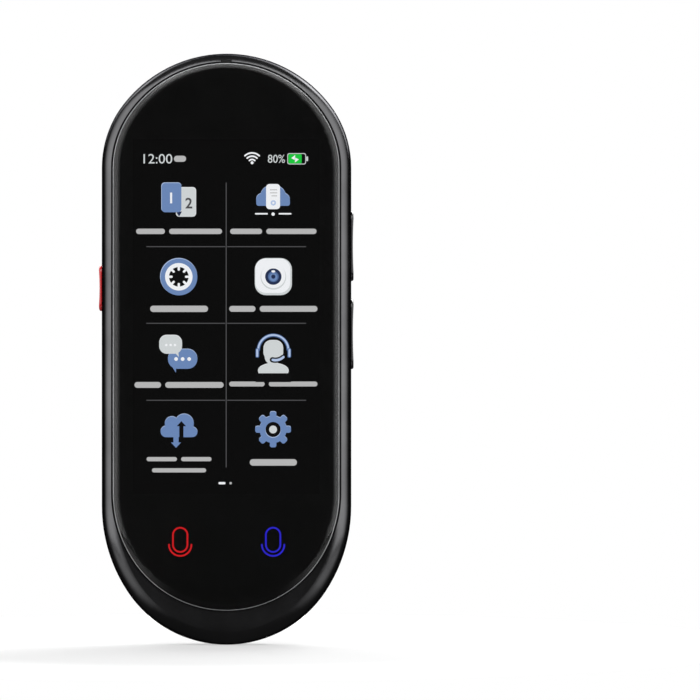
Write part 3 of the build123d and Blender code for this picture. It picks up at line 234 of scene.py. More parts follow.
moulded_skin, given, result = new_group(
    "moulded_skin",
    [("Color", "Color", (0.5, 0.5, 0.5, 1)), ("Roughness", "Float", 0.4), ("Grain Scale", "Float", 6000.0),
     ("Cloud Scale", "Float", 120.0)],
    [("Color", "Color"), ("Roughness", "Float"), ("Height", "Float")],
)
spot = add_node(moulded_skin, "TexCoord").outputs["Object"]
grain = add_node(moulded_skin, "TexNoise", {"Vector": spot, "Scale": given["Grain Scale"], "Detail": 3.0})
cloud = add_node(moulded_skin, "TexNoise", {"Vector": spot, "Scale": given["Cloud Scale"], "Detail": 4.0})
lighter = ramp(moulded_skin, cloud.outputs["Fac"], 0.3, 0.7, 0.88, 1.14)
moulded_skin.links.new(scaled(moulded_skin, given["Color"], lighter), result["Color"])
grain_share = ramp(moulded_skin, grain.outputs["Fac"], 0.25, 0.75, -0.05, 0.05)
cloud_share = ramp(moulded_skin, cloud.outputs["Fac"], 0.3, 0.7, -0.02, 0.02)
rougher = math_of(moulded_skin, "ADD", given["Roughness"], grain_share)
rougher = math_of(moulded_skin, "ADD", rougher, cloud_share)
moulded_skin.links.new(rougher, result["Roughness"])
moulded_skin.links.new(grain.outputs["Fac"], result["Height"])


def new_finish(name, **constants):
    """An empty node material with a Principled shader. Constants are set on the shader's own sockets."""
    finish = bpy.data.materials.new(name)
    finish.use_nodes = True
    shader = finish.node_tree.nodes["Principled BSDF"]
    for label, value in constants.items():
        shader.inputs[label.replace("_", " ")].default_value = value
    return finish, finish.node_tree, shader


def moulded(name, color, roughness, grain_scale, grain_depth, **constants):
    """A moulded or lacquered surface with a fine skin. The depth of the grain is in millimetres."""
    finish, tree, shader = new_finish(name, **constants)
    skin = add_node(tree, "Group", {"Color": (*color, 1), "Roughness": roughness, "Grain Scale": grain_scale},
                    node_tree=moulded_skin)
    tree.links.new(skin.outputs["Color"], shader.inputs["Base Color"])
    tree.links.new(skin.outputs["Roughness"], shader.inputs["Roughness"])
    if grain_depth:
        bump = add_node(tree, "Bump", {"Height": skin.outputs["Height"], "Distance": grain_depth * MM})
        tree.links.new(bump.outputs[0], shader.inputs["Normal"])
    return finish


def dress(finish, *names):
    """Gives CAD nodes their finish."""
    for name in names:
        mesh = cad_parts[name].data
        mesh.materials.clear()
        mesh.materials.append(finish)


frame_lacquer = moulded("frame_lacquer", LACQUER, LACQUER_ROUGHNESS, 9000.0, 0.0015, Metallic=LACQUER_METAL,
                        Specular_Tint=LACQUER_EDGE_TINT)
dress(frame_lacquer, "front_frame")

# ---------------------------------------------------------------- mid frame and rear seal
# The tray between the shells is matt glass-filled nylon, and its edge shows as the dark band set back in the
# seam. The seal round it and the pads under display and loudspeaker are die-cut closed-cell foam.
dress(moulded("tray_nylon", (0.014, 0.014, 0.015), 0.55, 3500.0, 0.01), "mid_frame")
dress(moulded("closed_foam", (0.012, 0.012, 0.012), 0.92, 2500.0, 0.03), "rear_seal", "display_foam",
      "speaker_gasket")

# ---------------------------------------------------------------- rear cover
# One moulded shell of black polycarbonate with a spark-eroded satin texture. Pressed dimples lie in rings
# round the camera, and a grille of round holes serves the loudspeaker.
dress(moulded("cover_plastic", (0.013, 0.013, 0.0135), 0.40, 5200.0, 0.006, Specular_IOR_Level=0.6),
      "rear_cover")

# ---------------------------------------------------------------- cover glass
# Hardened glass with a ground edge. Black ink is printed on its back all round the screen, and the rough
# arris that the grinding wheel leaves at the front edge is coloured light grey, a painted highlight for the
# thin line of light it reflects.
finger_haze, given, result = new_group(
    "finger_haze", [("Roughness", "Float", 0.03), ("Smear", "Float", 0.06)], [("Roughness", "Float")])
spot = add_node(finger_haze, "TexCoord").outputs["Object"]
smears = add_node(finger_haze, "TexNoise", {"Vector": spot, "Scale": 60.0, "Detail": 5.0, "Distortion": 1.2})
patch = ramp(finger_haze, smears.outputs["Fac"], 0.45, 0.75)
haze = math_of(finger_haze, "MULTIPLY_ADD", patch, given["Smear"], given["Roughness"])
finger_haze.links.new(haze, result["Roughness"])


def clear_glass(name, roughness, smear):
    """Polished clear glass with a trace of finger haze."""
    finish, tree, shader = new_finish(name, Base_Color=(1, 1, 1, 1), Transmission_Weight=1.0, IOR=1.5)
    smudges = add_node(tree, "Group", {"Roughness": roughness, "Smear": smear}, node_tree=finger_haze)
    tree.links.new(smudges.outputs[0], shader.inputs["Roughness"])
    return finish


dress(clear_glass("hardened_glass", 0.01, 0.004), "cover_glass")

SCREEN_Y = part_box("cover_glass")[1].y
SCREEN_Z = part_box("display_panel")[0].z / 2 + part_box("display_panel")[1].z / 2
LAYER = 0.005 * MM
MERGE_DISTANCE = 0.001 * MM
WINDOW_WIDTH = 40.0 * MM
WINDOW_HEIGHT = 76.0 * MM


def new_piece(name, shape, finishes, body="housing"):
    """Turns a bmesh into a scene piece that rides on a body of the frame."""
    mesh = bpy.data.meshes.new(name)
    shape.to_mesh(mesh)
    shape.free()
    for finish in finishes:
        mesh.materials.append(finish)
    piece = bpy.data.objects.new(name, mesh)
    bpy.context.scene.collection.objects.link(piece)
    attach(piece, body)


def thicken(shape, depth):
    """Gives a flat drawing its thickness along +Y and closes it."""
    made = bmesh.ops.extrude_face_region(shape, geom=shape.faces[:], use_keep_orig=True)
    moved = [v for v in made["geom"] if isinstance(v, bmesh.types.BMVert)]
    bmesh.ops.translate(shape, vec=(0, depth, 0), verts=moved)
    bmesh.ops.recalc_face_normals(shape, faces=shape.faces[:])


def copy_of(node):
    """A merged copy of a CAD node's mesh."""
    shape = bmesh.new()
    shape.from_mesh(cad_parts[node].data)
    bmesh.ops.remove_doubles(shape, verts=shape.verts[:], dist=MERGE_DISTANCE)
    return shape


ink_shape = copy_of("cover_glass")
others = [f for f in ink_shape.faces if f.calc_center_median().y < SCREEN_Y - LAYER]
bmesh.ops.delete(ink_shape, geom=others, context="FACES")
bmesh.ops.dissolve_limit(ink_shape, angle_limit=0.01, verts=ink_shape.verts[:], edges=ink_shape.edges[:])
for level in (WINDOW_WIDTH / 2, -WINDOW_WIDTH / 2):
    bmesh.ops.bisect_plane(ink_shape, geom=ink_shape.verts[:] + ink_shape.edges[:] + ink_shape.faces[:],
                           plane_co=(level, 0, 0), plane_no=(1, 0, 0))
for level in (SCREEN_Z + WINDOW_HEIGHT / 2, SCREEN_Z - WINDOW_HEIGHT / 2):
    bmesh.ops.bisect_plane(ink_shape, geom=ink_shape.verts[:] + ink_shape.edges[:] + ink_shape.faces[:],
                           plane_co=(0, 0, level), plane_no=(0, 0, 1))
window_faces = [f for f in ink_shape.faces if abs(f.calc_center_median().x) < WINDOW_WIDTH / 2
                and abs(f.calc_center_median().z - SCREEN_Z) < WINDOW_HEIGHT / 2]
bmesh.ops.delete(ink_shape, geom=window_faces, context="FACES")
bmesh.ops.translate(ink_shape, vec=(0, -LAYER, 0), verts=ink_shape.verts[:])
thicken(ink_shape, LAYER / 2)
printed_black = moulded("printed_black", (0.0065, 0.0065, 0.0065), 0.6, 9000.0, 0, Specular_IOR_Level=0.0)
new_piece("glass_print", ink_shape, [printed_black])

ARRIS_SLOPE = (-0.75, -0.3)
ARRIS_LIFT = 0.004 * MM
arris_shape = copy_of("cover_glass")
arris_shape.normal_update()
others = [f for f in arris_shape.faces if not ARRIS_SLOPE[0] < f.normal.y < ARRIS_SLOPE[1]]
bmesh.ops.delete(arris_shape, geom=others, context="FACES")
arris_shape.normal_update()
outward = [(v, v.normal.copy()) for v in arris_shape.verts]
for vert, normal in outward:
    vert.co += normal * ARRIS_LIFT
bmesh.ops.solidify(arris_shape, geom=arris_shape.faces[:], thickness=ARRIS_LIFT / 2)
bmesh.ops.recalc_face_normals(arris_shape, faces=arris_shape.faces[:])
# The steep arris faces get a light grey colour: a painted highlight, not a lamp's reflection.
arris_painted_highlight = moulded("arris_highlight_paint", (0.5, 0.51, 0.52), 0.45, 9000.0, 0.001)
new_piece("glass_arris", arris_shape, [arris_painted_highlight])

# ---------------------------------------------------------------- display stack behind the glass
# A bonded panel with its steel-backed backlight, an amber flex with copper lines, and the black tape frame
# that holds the glass in the bezel. The touch keys have their own thin board with two lamps.
brushed_metal, given, result = new_group(
    "brushed_metal",
    [("Color", "Color", (0.6, 0.6, 0.6, 1)), ("Roughness", "Float", 0.35), ("Stretch", "Float", 40.0)],
    [("Color", "Color"), ("Roughness", "Float"), ("Height", "Float")],
)
spot = add_node(brushed_metal, "TexCoord").outputs["Object"]
lengthened = add_node(brushed_metal, "CombineXYZ", {"X": 1.0, "Y": 1.0, "Z": given["Stretch"]})
along = add_node(brushed_metal, "VectorMath", {0: spot, 1: lengthened.outputs[0]}, operation="MULTIPLY")
scratches = add_node(brushed_metal, "TexNoise", {"Vector": along.outputs[0], "Scale": 900.0, "Detail": 4.0})
brighter = ramp(brushed_metal, scratches.outputs["Fac"], low=0.8, high=1.15)
brushed_metal.links.new(scaled(brushed_metal, given["Color"], brighter), result["Color"])
scuffed = ramp(brushed_metal, scratches.outputs["Fac"], low=-0.08, high=0.08)
brushed_metal.links.new(math_of(brushed_metal, "ADD", given["Roughness"], scuffed), result["Roughness"])
brushed_metal.links.new(scratches.outputs["Fac"], result["Height"])


def brushed(name, color, roughness, stretch=40.0):
    """Bare metal with fine drawn or rolled lines."""
    finish, tree, shader = new_finish(name, Metallic=1.0)
    lines = add_node(tree, "Group", {"Color": (*color, 1), "Roughness": roughness, "Stretch": stretch},
                     node_tree=brushed_metal)
    bump = add_node(tree, "Bump", {"Height": lines.outputs["Height"], "Distance": 0.002 * MM})
    tree.links.new(lines.outputs["Color"], shader.inputs["Base Color"])
    tree.links.new(lines.outputs["Roughness"], shader.inputs["Roughness"])
    tree.links.new(bump.outputs[0], shader.inputs["Normal"])
    return finish


def mix_colors(tree, share, first, second):
    """Socket with two colours mixed by a share from 0 to 1."""
    return add_node(tree, "Mix", {0: share, 6: first, 7: second}, data_type="RGBA").outputs[2]


printed_lines, given, result = new_group(
    "printed_lines", [("Color", "Color", (0.02, 0.1, 0.04, 1)), ("Line Color", "Color", (0.03, 0.2, 0.08, 1)),
                      ("Pitch", "Float", 0.8 * MM)],
    [("Color", "Color"), ("Height", "Float")])
spot = add_node(printed_lines, "TexCoord").outputs["Object"]
wander = add_node(printed_lines, "TexNoise", {"Vector": spot, "Scale": 180.0, "Detail": 0.0})
place = add_node(printed_lines, "SeparateXYZ", {0: spot})
run = math_of(printed_lines, "DIVIDE", place.outputs["X"], given["Pitch"])
run = math_of(printed_lines, "MULTIPLY_ADD", wander.outputs["Fac"], 3.0, run)
line_mask = ramp(printed_lines, math_of(printed_lines, "PINGPONG", run, 1.0), 0.55, 0.62)
line_color = mix_colors(printed_lines, line_mask, given["Color"], given["Line Color"])
printed_lines.links.new(line_color, result["Color"])
printed_lines.links.new(line_mask, result["Height"])


def circuit(name, color, line_color, pitch, roughness):
    """A board or flex with fine printed conductors under its varnish. The pitch is in millimetres."""
    finish, tree, shader = new_finish(name, Roughness=roughness, Coat_Weight=0.3)
    lines = add_node(tree, "Group", {"Color": (*color, 1), "Line Color": (*line_color, 1),
                                     "Pitch": pitch * MM}, node_tree=printed_lines)
    bump = add_node(tree, "Bump", {"Height": lines.outputs["Height"], "Distance": 0.02 * MM})
    tree.links.new(lines.outputs["Color"], shader.inputs["Base Color"])
    tree.links.new(bump.outputs[0], shader.inputs["Normal"])
    return finish


dress(moulded("panel_glass", (0.006, 0.006, 0.008), 0.12, 4000.0, 0), "display_panel")
dress(brushed("backlight_steel", (0.55, 0.56, 0.58), 0.38), "display_backlight")
amber_flex = circuit("amber_flex", (0.42, 0.16, 0.02), (0.62, 0.28, 0.05), 0.5, 0.35)
dress(amber_flex, "display_flex")
dress(moulded("black_tape", (0.01, 0.01, 0.01), 0.7, 1500.0, 0.01), "glass_adhesive")
black_board = circuit("black_board", (0.012, 0.013, 0.014), (0.03, 0.03, 0.034), 0.7, 0.4)
dress(black_board, "touch_key_board")
dress(moulded("lamp_phosphor", (0.75, 0.62, 0.2), 0.4, 5000.0, 0.003), "touch_key_lamps")

# ---------------------------------------------------------------- picture on the display: its ground
# The lit picture lies in the optical bond between display and glass. Its ground is a black that still glows a
# little, as a backlit panel does, and its pixels leave a fine grid.
screen_pixels, given, result = new_group(
    "screen_pixels", [("Color", "Color", (1, 1, 1, 1)), ("Pitch", "Float", 0.09 * MM)], [("Color", "Color")])
spot = add_node(screen_pixels, "SeparateXYZ", {0: add_node(screen_pixels, "TexCoord").outputs["Object"]})
bars = []
for side in ("X", "Z"):
    turns = math_of(screen_pixels, "DIVIDE", spot.outputs[side], given["Pitch"])
    wave = math_of(screen_pixels, "COSINE", math_of(screen_pixels, "MULTIPLY", turns, 2 * math.pi))
    bars.append(ramp(screen_pixels, wave, -1.0, 1.0, 0.92, 1.0))
dotted = scaled(screen_pixels, given["Color"], math_of(screen_pixels, "MULTIPLY", *bars))
screen_pixels.links.new(dotted, result["Color"])


def from_screen(value):
    """Linear light of a display level from 0 to 255."""
    share = value / 255
    return share / 12.92 if share <= 0.04045 else ((share + 0.055) / 1.055) ** 2.4


def screen_ink(name, *levels):
    """Lit pixels of one colour, given in display levels of red, green and blue."""
    finish, tree, shader = new_finish(name, Emission_Strength=1.0, Base_Color=(0.0008, 0.0008, 0.0008, 1),
                                      Roughness=0.6, Specular_IOR_Level=0.0)
    color = (*(from_screen(level) for level in levels), 1)
    pixels = add_node(tree, "Group", {"Color": color}, node_tree=screen_pixels)
    tree.links.new(pixels.outputs[0], shader.inputs["Emission Color"])
    return finish


def at(x, z, layer, turn=0.0):
    """Place of a flat drawing on the screen, turned to face the viewer. Takes millimetres and degrees, and
    counts layers from the back of the glass towards the viewer."""
    middle = Matrix.Translation((x * MM, SCREEN_Y - (layer + 1) * LAYER, z * MM))
    return middle @ Matrix.Rotation(math.pi / 2, 4, "X") @ Matrix.Rotation(math.radians(turn), 4, "Z")


def ink_new(art, before, ink):
    """Gives an ink to every face that the drawing didn't have before."""
    for face in art.faces:
        if face not in before:
            face.material_index = ink


def disc(art, x, z, radius, layer, ink, sides=40, squash=1.0):
    """A filled circle or ellipse, in millimetres."""
    before = set(art.faces)
    flat = at(x, z, layer) @ Matrix.Diagonal((1, squash, 1, 1))
    bmesh.ops.create_circle(art, cap_ends=True, segments=sides, radius=radius * MM, matrix=flat)
    ink_new(art, before, ink)


def triangle(art, x, z, width, height, layer, ink, turn=0.0):
    """A filled triangle that points up before its turn, centred on the middle of its height."""
    before = set(art.faces)
    flat = (at(x, z, layer, turn) @ Matrix.Diagonal((width / math.sqrt(3), height / 1.5, 1, 1))
            @ Matrix.Translation((0, -0.25 * MM, 0)))
    bmesh.ops.create_circle(art, cap_ends=True, segments=3, radius=MM, matrix=flat)
    ink_new(art, before, ink)


# The largest corner is a little less than half of its side.
LARGEST_CORNER = 1 / 2.02


def tile(art, x, z, width, height, corner, layer, ink, turn=0.0):
    """A filled rectangle with rounded corners, in millimetres."""
    before = set(art.faces)
    flat = at(x, z, layer, turn) @ Matrix.Diagonal((width * MM, height * MM, 1, 1))
    made = bmesh.ops.create_grid(art, x_segments=1, y_segments=1, size=0.5, matrix=flat)
    if corner:
        corner = min(corner, LARGEST_CORNER * width, LARGEST_CORNER * height)
        bmesh.ops.bevel(art, geom=made["verts"], offset=corner * MM, segments=6, profile=0.5,
                        affect="VERTICES", material=-1)
    ink_new(art, before, ink)


INK_DEPTH = 0.2 * LAYER


def hang(name, art, finishes):
    """Closes a drawing and adds it to the display."""
    thicken(art, INK_DEPTH)
    new_piece(name, art, finishes)


PAGE_OVERLAP = 0.4
PAGE_LAYER = -0.3
page = bmesh.new()
tile(page, 0, SCREEN_Z / MM, WINDOW_WIDTH / MM + PAGE_OVERLAP, WINDOW_HEIGHT / MM + PAGE_OVERLAP, 0,
     PAGE_LAYER, 0)
hang("page_ground", page, [screen_ink("ground_pixels", 9, 9, 9)])

# ---------------------------------------------------------------- picture: rules, page marker and label bars
# Thin grey rules part the eight functions. Under each icon its name is a plain bar for every word, and a dash
# and a dot at the bottom mark the first of two pages.
WHITE, PALE, BLUE, SKY, STEEL, DARK, GREEN, GREY, NIGHT, SHADE = range(10)
picture_inks = [
    screen_ink("white_pixels", 250, 252, 255),
    screen_ink("pale_pixels", 216, 221, 222),
    screen_ink("blue_pixels", 112, 141, 190),
    screen_ink("sky_pixels", 186, 205, 238),
    screen_ink("steel_pixels", 84, 112, 160),
    screen_ink("dark_pixels", 13, 13, 14),
    screen_ink("green_pixels", 32, 205, 66),
    screen_ink("grey_pixels", 82, 82, 84),
    screen_ink("night_pixels", 40, 52, 84),
    screen_ink("shade_pixels", 190, 190, 190),
]
ICON_X = 10.1
RULE = 0.2
RULE_HALF = 17.1
RULE_ROWS = (85.47, 69.05, 52.56)
UPRIGHT_Z = 68.7
UPRIGHT_LENGTH = 61.0
rules = bmesh.new()
for z in RULE_ROWS:
    for side in (-1, 1):
        tile(rules, side * (RULE_HALF + RULE) / 2, z, RULE_HALF - RULE, RULE, 0, 2, GREY)
tile(rules, 0, UPRIGHT_Z, RULE, UPRIGHT_LENGTH, 0, 2, GREY)
hang("page_rules", rules, picture_inks)
MARKER_Z = 34.8
marker = bmesh.new()
tile(marker, -0.9, MARKER_Z, 1.5, 0.5, 0.25, 2, WHITE)
disc(marker, 0.95, MARKER_Z, 0.27, 2, SHADE, 20)
hang("page_marker", marker, picture_inks)

# Middle, level and width of each label, the lengths of its words in letters, and the height of its bars.
LABELS = [
    (-ICON_X, 88.75, 18.4, (6, 11), 1.15), (ICON_X, 88.75, 18.5, (7, 11), 1.15),
    (-ICON_X, 72.15, 12.4, (1,), 1.35), (ICON_X, 72.15, 18.9, (5, 11), 1.25),
    (-ICON_X, 55.85, 19.1, (5, 11), 1.25), (ICON_X, 56.05, 18.9, (8, 11), 1.05),
    (-ICON_X, 39.95, 13.9, (7, 7), 0.9), (-ICON_X, 37.55, 11.6, (1,), 0.9), (ICON_X, 39.25, 10.1, (1,), 1.4),
]
WORD_GAP = 0.9
labels = bmesh.new()
for middle, level, width, letters, height in LABELS:
    unit = (width - WORD_GAP * (len(letters) - 1)) / sum(letters)
    edge = middle - width / 2
    for count in letters:
        tile(labels, edge + count * unit / 2, level, count * unit, height, height / 2, 2, SHADE)
        edge += count * unit + WORD_GAP
hang("icon_labels", labels, picture_inks)

# ---------------------------------------------------------------- picture: status line
# The time in plain figures, reception in fan shape, the charge in per cent and a green battery that is
# charging.
STATUS_Z = 104.3


def arc(art, x, z, radius, width, start, sweep, layer, ink):
    """A band along an arc with round ends. Angles are in degrees, from the right, anticlockwise."""
    before = set(art.faces)
    place = at(x, z, layer, start)
    ends = [art.verts.new(place @ Matrix.Translation((r * MM, 0, 0)).to_translation())
            for r in (radius - width / 2, radius + width / 2)]
    edge = art.edges.new(ends)
    bmesh.ops.spin(art, geom=ends + [edge], cent=place.to_translation(), axis=(0, -1, 0), dvec=(0, 0, 0),
                   angle=math.radians(sweep), steps=28, use_duplicate=False, use_merge=False)
    ink_new(art, before, ink)
    for angle in (start, start + sweep):
        turn = math.radians(angle)
        disc(art, x + radius * math.cos(turn), z + radius * math.sin(turn), width / 2, layer + 0.3, ink, 16)


def figures(art, text, x, z, height, layer, ink, breadth, weight):
    """Plain figures centred on (x, z), traced from the built-in typeface. Breadth widens them, and weight
    thickens their strokes."""
    before = set(art.faces)
    writing = bpy.data.curves.new("figures", "FONT")
    writing.body = text
    writing.align_x = "CENTER"
    writing.resolution_u = 4
    writing.offset = weight
    carrier = bpy.data.objects.new("figures", writing)
    traced = bpy.data.meshes.new_from_object(carrier)
    low = min(v.co.y for v in traced.vertices)
    high = max(v.co.y for v in traced.vertices)
    size = height * MM / (high - low)
    traced.transform(at(x, z, layer) @ Matrix.Diagonal((size * breadth, size, 1, 1))
                     @ Matrix.Translation((0, -(low + high) / 2, 0)))
    art.from_mesh(traced)
    ink_new(art, before, ink)
    bpy.data.objects.remove(carrier)
    bpy.data.meshes.remove(traced)


status = bmesh.new()
figures(status, "12:00", -14.9, STATUS_Z, 2.05, 2, PALE, 1.06, 0.0)
tile(status, -9.9, STATUS_Z, 2.6, 1.3, 0.65, 2, SHADE)
for radius in (0.85, 1.55, 2.25):
    arc(status, 5.55, STATUS_Z - 1.0, radius, 0.34, 47, 86, 2, WHITE)
disc(status, 5.55, STATUS_Z - 0.85, 0.32, 3, WHITE, 20)
figures(status, "80%", 10.75, STATUS_Z, 1.75, 2, PALE, 0.9, 0.0)
charge_x = 15.1
tile(status, charge_x, STATUS_Z, 4.0, 2.4, 0.45, 2, PALE)
tile(status, charge_x, STATUS_Z, 3.7, 2.1, 0.35, 3, DARK)
tile(status, charge_x - 0.35, STATUS_Z, 2.85, 2.0, 0.25, 4, GREEN)
tile(status, charge_x + 2.25, STATUS_Z, 0.4, 1.0, 0.15, 2, PALE)
triangle(status, charge_x - 0.55, STATUS_Z + 0.38, 0.85, 1.0, 5, WHITE, -28)
triangle(status, charge_x - 0.15, STATUS_Z - 0.38, 0.85, 1.0, 5.5, WHITE, 152)
hang("status_line", status, picture_inks)

# ---------------------------------------------------------------- picture: function icons
# Eight pictograms in steel blue, pale grey and white, each with a light upper edge: cards, a server, a reel,
# a lens, talk bubbles, a helper with headset, a cloud exchange and a gear.
LIFT = 0.11
cards = bmesh.new()
tile(cards, -8.6, 95.06, 4.3, 6.35, 0.75, 2, WHITE)
tile(cards, -8.66, 95.0, 4.25, 6.25, 0.72, 3, PALE)
triangle(cards, -10.1, 92.45, 1.3, 1.1, 4, NIGHT, 180)
tile(cards, -11.75, 96.03 + LIFT / 2, 4.3, 6.3, 0.75, 5, SKY)
tile(cards, -11.7, 96.03 - LIFT / 2, 4.2, 6.25, 0.72, 6, BLUE)
figures(cards, "1", -11.8, 95.9, 2.3, 7, WHITE, 1.0, 0.02)
figures(cards, "2", -8.0, 94.8, 2.3, 7, GREY, 1.0, 0.02)
hang("icon_cards", cards, picture_inks)

server = bmesh.new()
for lift, ink in ((LIFT, SKY), (0, BLUE)):
    layer = 3 - lift / LIFT
    disc(server, 7.75, 95.55 + lift, 1.33, layer, ink)
    disc(server, 12.3, 95.55 + lift, 1.33, layer + 0.1, ink)
    disc(server, 10.05, 96.15 + lift, 2.75, layer + 0.2, ink, 56, 0.92)
    tile(server, 10.05, 94.9 + lift, 7.2, 1.35, 0.5, layer + 0.3, ink)
tile(server, 10.05, 93.35, 7.6, 1.7, 0, 4, DARK)
tile(server, 10.05, 96.2, 3.0, 5.4, 0.75, 5, WHITE)
for row in range(3):
    tile(server, 10.15 + 0.15 * (row == 2), 97.65 - 0.65 * row, 1.6 - 0.35 * (row == 2), 0.2, 0.1, 6, SHADE)
disc(server, 10.1, 94.85, 0.58, 6, SKY, 28)
disc(server, 10.1, 94.85, 0.24, 7, WHITE, 20)
for x in (7.55, 12.6):
    tile(server, x, 92.52, 2.75, 0.32, 0.16, 5, WHITE)
disc(server, 10.05, 92.45, 0.36, 5, WHITE, 20)
hang("icon_server", server, picture_inks)

reel = bmesh.new()
x, z = -10.15, 79.02
disc(reel, x - 0.03, z + 0.05, 3.98, 2, SKY, 64)
disc(reel, x + 0.03, z - 0.05, 3.93, 3, BLUE, 64)
disc(reel, x, z, 2.95, 4, WHITE, 56)
disc(reel, x, z, 2.1, 5, DARK, 48)
for spoke in range(8):
    angle = 45 * spoke
    turn = math.radians(angle)
    tile(reel, x + 1.75 * math.cos(turn), z + 1.75 * math.sin(turn), 0.85, 0.5, 0.2, 6, WHITE, angle)
hang("icon_reel", reel, picture_inks)

lens_icon = bmesh.new()
x, z = ICON_X, 79.05
tile(lens_icon, x, z, 7.95, 7.95, 2.4, 2, PALE)
tile(lens_icon, x - 0.12, z + 0.2, 7.45, 7.35, 2.2, 3, WHITE)
disc(lens_icon, x, z - 0.05, 2.75, 4, PALE, 56)
disc(lens_icon, x, z + 0.15, 2.6, 5, WHITE, 56)
disc(lens_icon, x, z, 1.76, 6, NIGHT)
disc(lens_icon, x, z, 1.15, 7, STEEL)
disc(lens_icon, x, z - 0.1, 0.85, 7.4, BLUE)
disc(lens_icon, x, z, 0.45, 8, NIGHT, 24)
disc(lens_icon, x, z + 1.12, 0.42, 8, WHITE, 24, 0.6)
hang("icon_lens", lens_icon, picture_inks)

talk = bmesh.new()
for lift, inks in ((LIFT, (WHITE, SKY)), (0, (PALE, BLUE))):
    layer = 3 - lift / LIFT
    tile(talk, -9.33, 61.4 + lift, 6.3, 4.2, 2.05, layer, inks[1])
    tile(talk, -11.9, 64.5 + lift, 4.9, 3.95, 1.6, layer + 2.5, inks[0])
triangle(talk, -10.95, 59.15, 0.9, 1.4, 3.5, BLUE, 195)
triangle(talk, -10.45, 62.5, 1.0, 1.5, 6, PALE, 205)
for dot in (-1, 0, 1):
    disc(talk, -11.9 + 0.93 * dot, 64.4, 0.27, 7, WHITE, 18)
    disc(talk, -9.33 + 1.4 * dot, 61.4, 0.4, 5, WHITE, 20)
hang("icon_talk", talk, picture_inks)

helper = bmesh.new()
x, z = ICON_X, 63.3
for lift, ink in ((LIFT * 0.7, WHITE), (0, PALE)):
    layer = 3 - lift / LIFT
    tile(helper, x, z - 0.05 + lift, 4.25, 4.3, 1.7, layer, ink)
    disc(helper, x - 0.1, z - 1.5 + lift, 1.75, layer + 0.1, ink, 32, 0.9)
    tile(helper, x - 0.1, z - 2.7 + lift, 2.0, 2.2, 0.2, layer + 0.2, ink)
    disc(helper, x, z - 4.45 + lift, 3.3, layer + 0.3, ink, 56, 0.5)
tile(helper, x, z - 5.9, 7.6, 1.9, 0, 3.6, DARK)
arc(helper, x, z, 3.2, 0.7, 2, 176, 4, STEEL)
arc(helper, x, z, 3.24, 0.36, 6, 168, 5, SKY)
for side in (-1, 1):
    tile(helper, x + side * 3.42, z - 0.6, 0.75, 2.0, 0.25, 6, STEEL)
    tile(helper, x + side * 3.45, z - 0.6, 0.42, 1.7, 0.18, 7, SKY)
arc(helper, x + 0.45, z + 0.35, 2.5, 1.15, 255, 56, 4.5, DARK)
arc(helper, x + 0.45, z + 0.35, 2.5, 0.52, 257, 56, 8, SKY)
hang("icon_helper", helper, picture_inks)

exchange = bmesh.new()
x, z = -ICON_X, 46.8
for lift, ink in ((LIFT, SKY), (0, BLUE)):
    layer = 3 - lift / LIFT
    disc(exchange, x - 2.75, z - 0.95 + lift, 1.2, layer, ink)
    disc(exchange, x - 1.55, z + 0.75 + lift, 1.5, layer + 0.1, ink)
    disc(exchange, x + 1.1, z + 0.75 + lift, 2.05, layer + 0.2, ink, 48)
    disc(exchange, x + 2.85, z - 1.05 + lift, 1.08, layer + 0.3, ink)
    tile(exchange, x, z - 0.95 + lift, 6.9, 2.4, 0.9, layer + 0.4, ink)
tile(exchange, x - 0.65, z - 2.25, 1.1, 2.6, 0, 5, BLUE)
triangle(exchange, x - 0.65, z - 3.85, 2.15, 1.15, 5.2, BLUE, 180)
tile(exchange, x + 0.5, z - 0.95, 0.9, 2.9, 0, 6, DARK)
triangle(exchange, x + 0.5, z + 0.75, 2.0, 1.1, 6.2, DARK)
hang("icon_exchange", exchange, picture_inks)

gear = bmesh.new()
x, z = ICON_X - 0.05, 46.3
for lift, ink in ((LIFT, SKY), (0, BLUE)):
    layer = 3 - lift / LIFT
    disc(gear, x, z + lift, 2.9, layer, ink, 56)
    for tooth in range(8):
        angle = 45 * tooth
        turn = math.radians(angle)
        tile(gear, x + 2.95 * math.cos(turn), z + lift + 2.95 * math.sin(turn), 1.75, 1.4, 0.45,
             layer + 0.05 * (tooth + 1), ink, angle)
disc(gear, x, z - LIFT, 1.66, 4, SKY)
disc(gear, x, z, 1.62, 5, DARK)
disc(gear, x, z, 0.84, 6, PALE, 28)
hang("icon_gear", gear, picture_inks)

# ---------------------------------------------------------------- touch keys under the screen
# Two outlined microphones etched out of the black print and lit from behind, red on the left and blue on the
# right.
TOUCH_Z = 22.4
STROKE = 0.36
CAPSULE = 1.55
CRADLE = CAPSULE + 0.85
RISE = 1.3
DROP = 0.6 * RISE
lamp_inks = [screen_ink("red_lamp", 206, 30, 34), screen_ink("blue_lamp", 46, 40, 208)]
for ink, (name, x) in enumerate((("touch_key_red", -9.85), ("touch_key_blue", 10.05))):
    mark = bmesh.new()
    arc(mark, x, TOUCH_Z + RISE, CAPSULE, STROKE, 0, 180, 2, ink)
    arc(mark, x, TOUCH_Z - DROP, CAPSULE, STROKE, 180, 180, 2, ink)
    for side in (-1, 1):
        tile(mark, x + side * CAPSULE, TOUCH_Z + (RISE - DROP) / 2, STROKE, RISE + DROP, 0, 2.2, ink)
    arc(mark, x, TOUCH_Z - DROP, CRADLE, STROKE, 180, 180, 2, ink)
    hang(name, mark, lamp_inks)

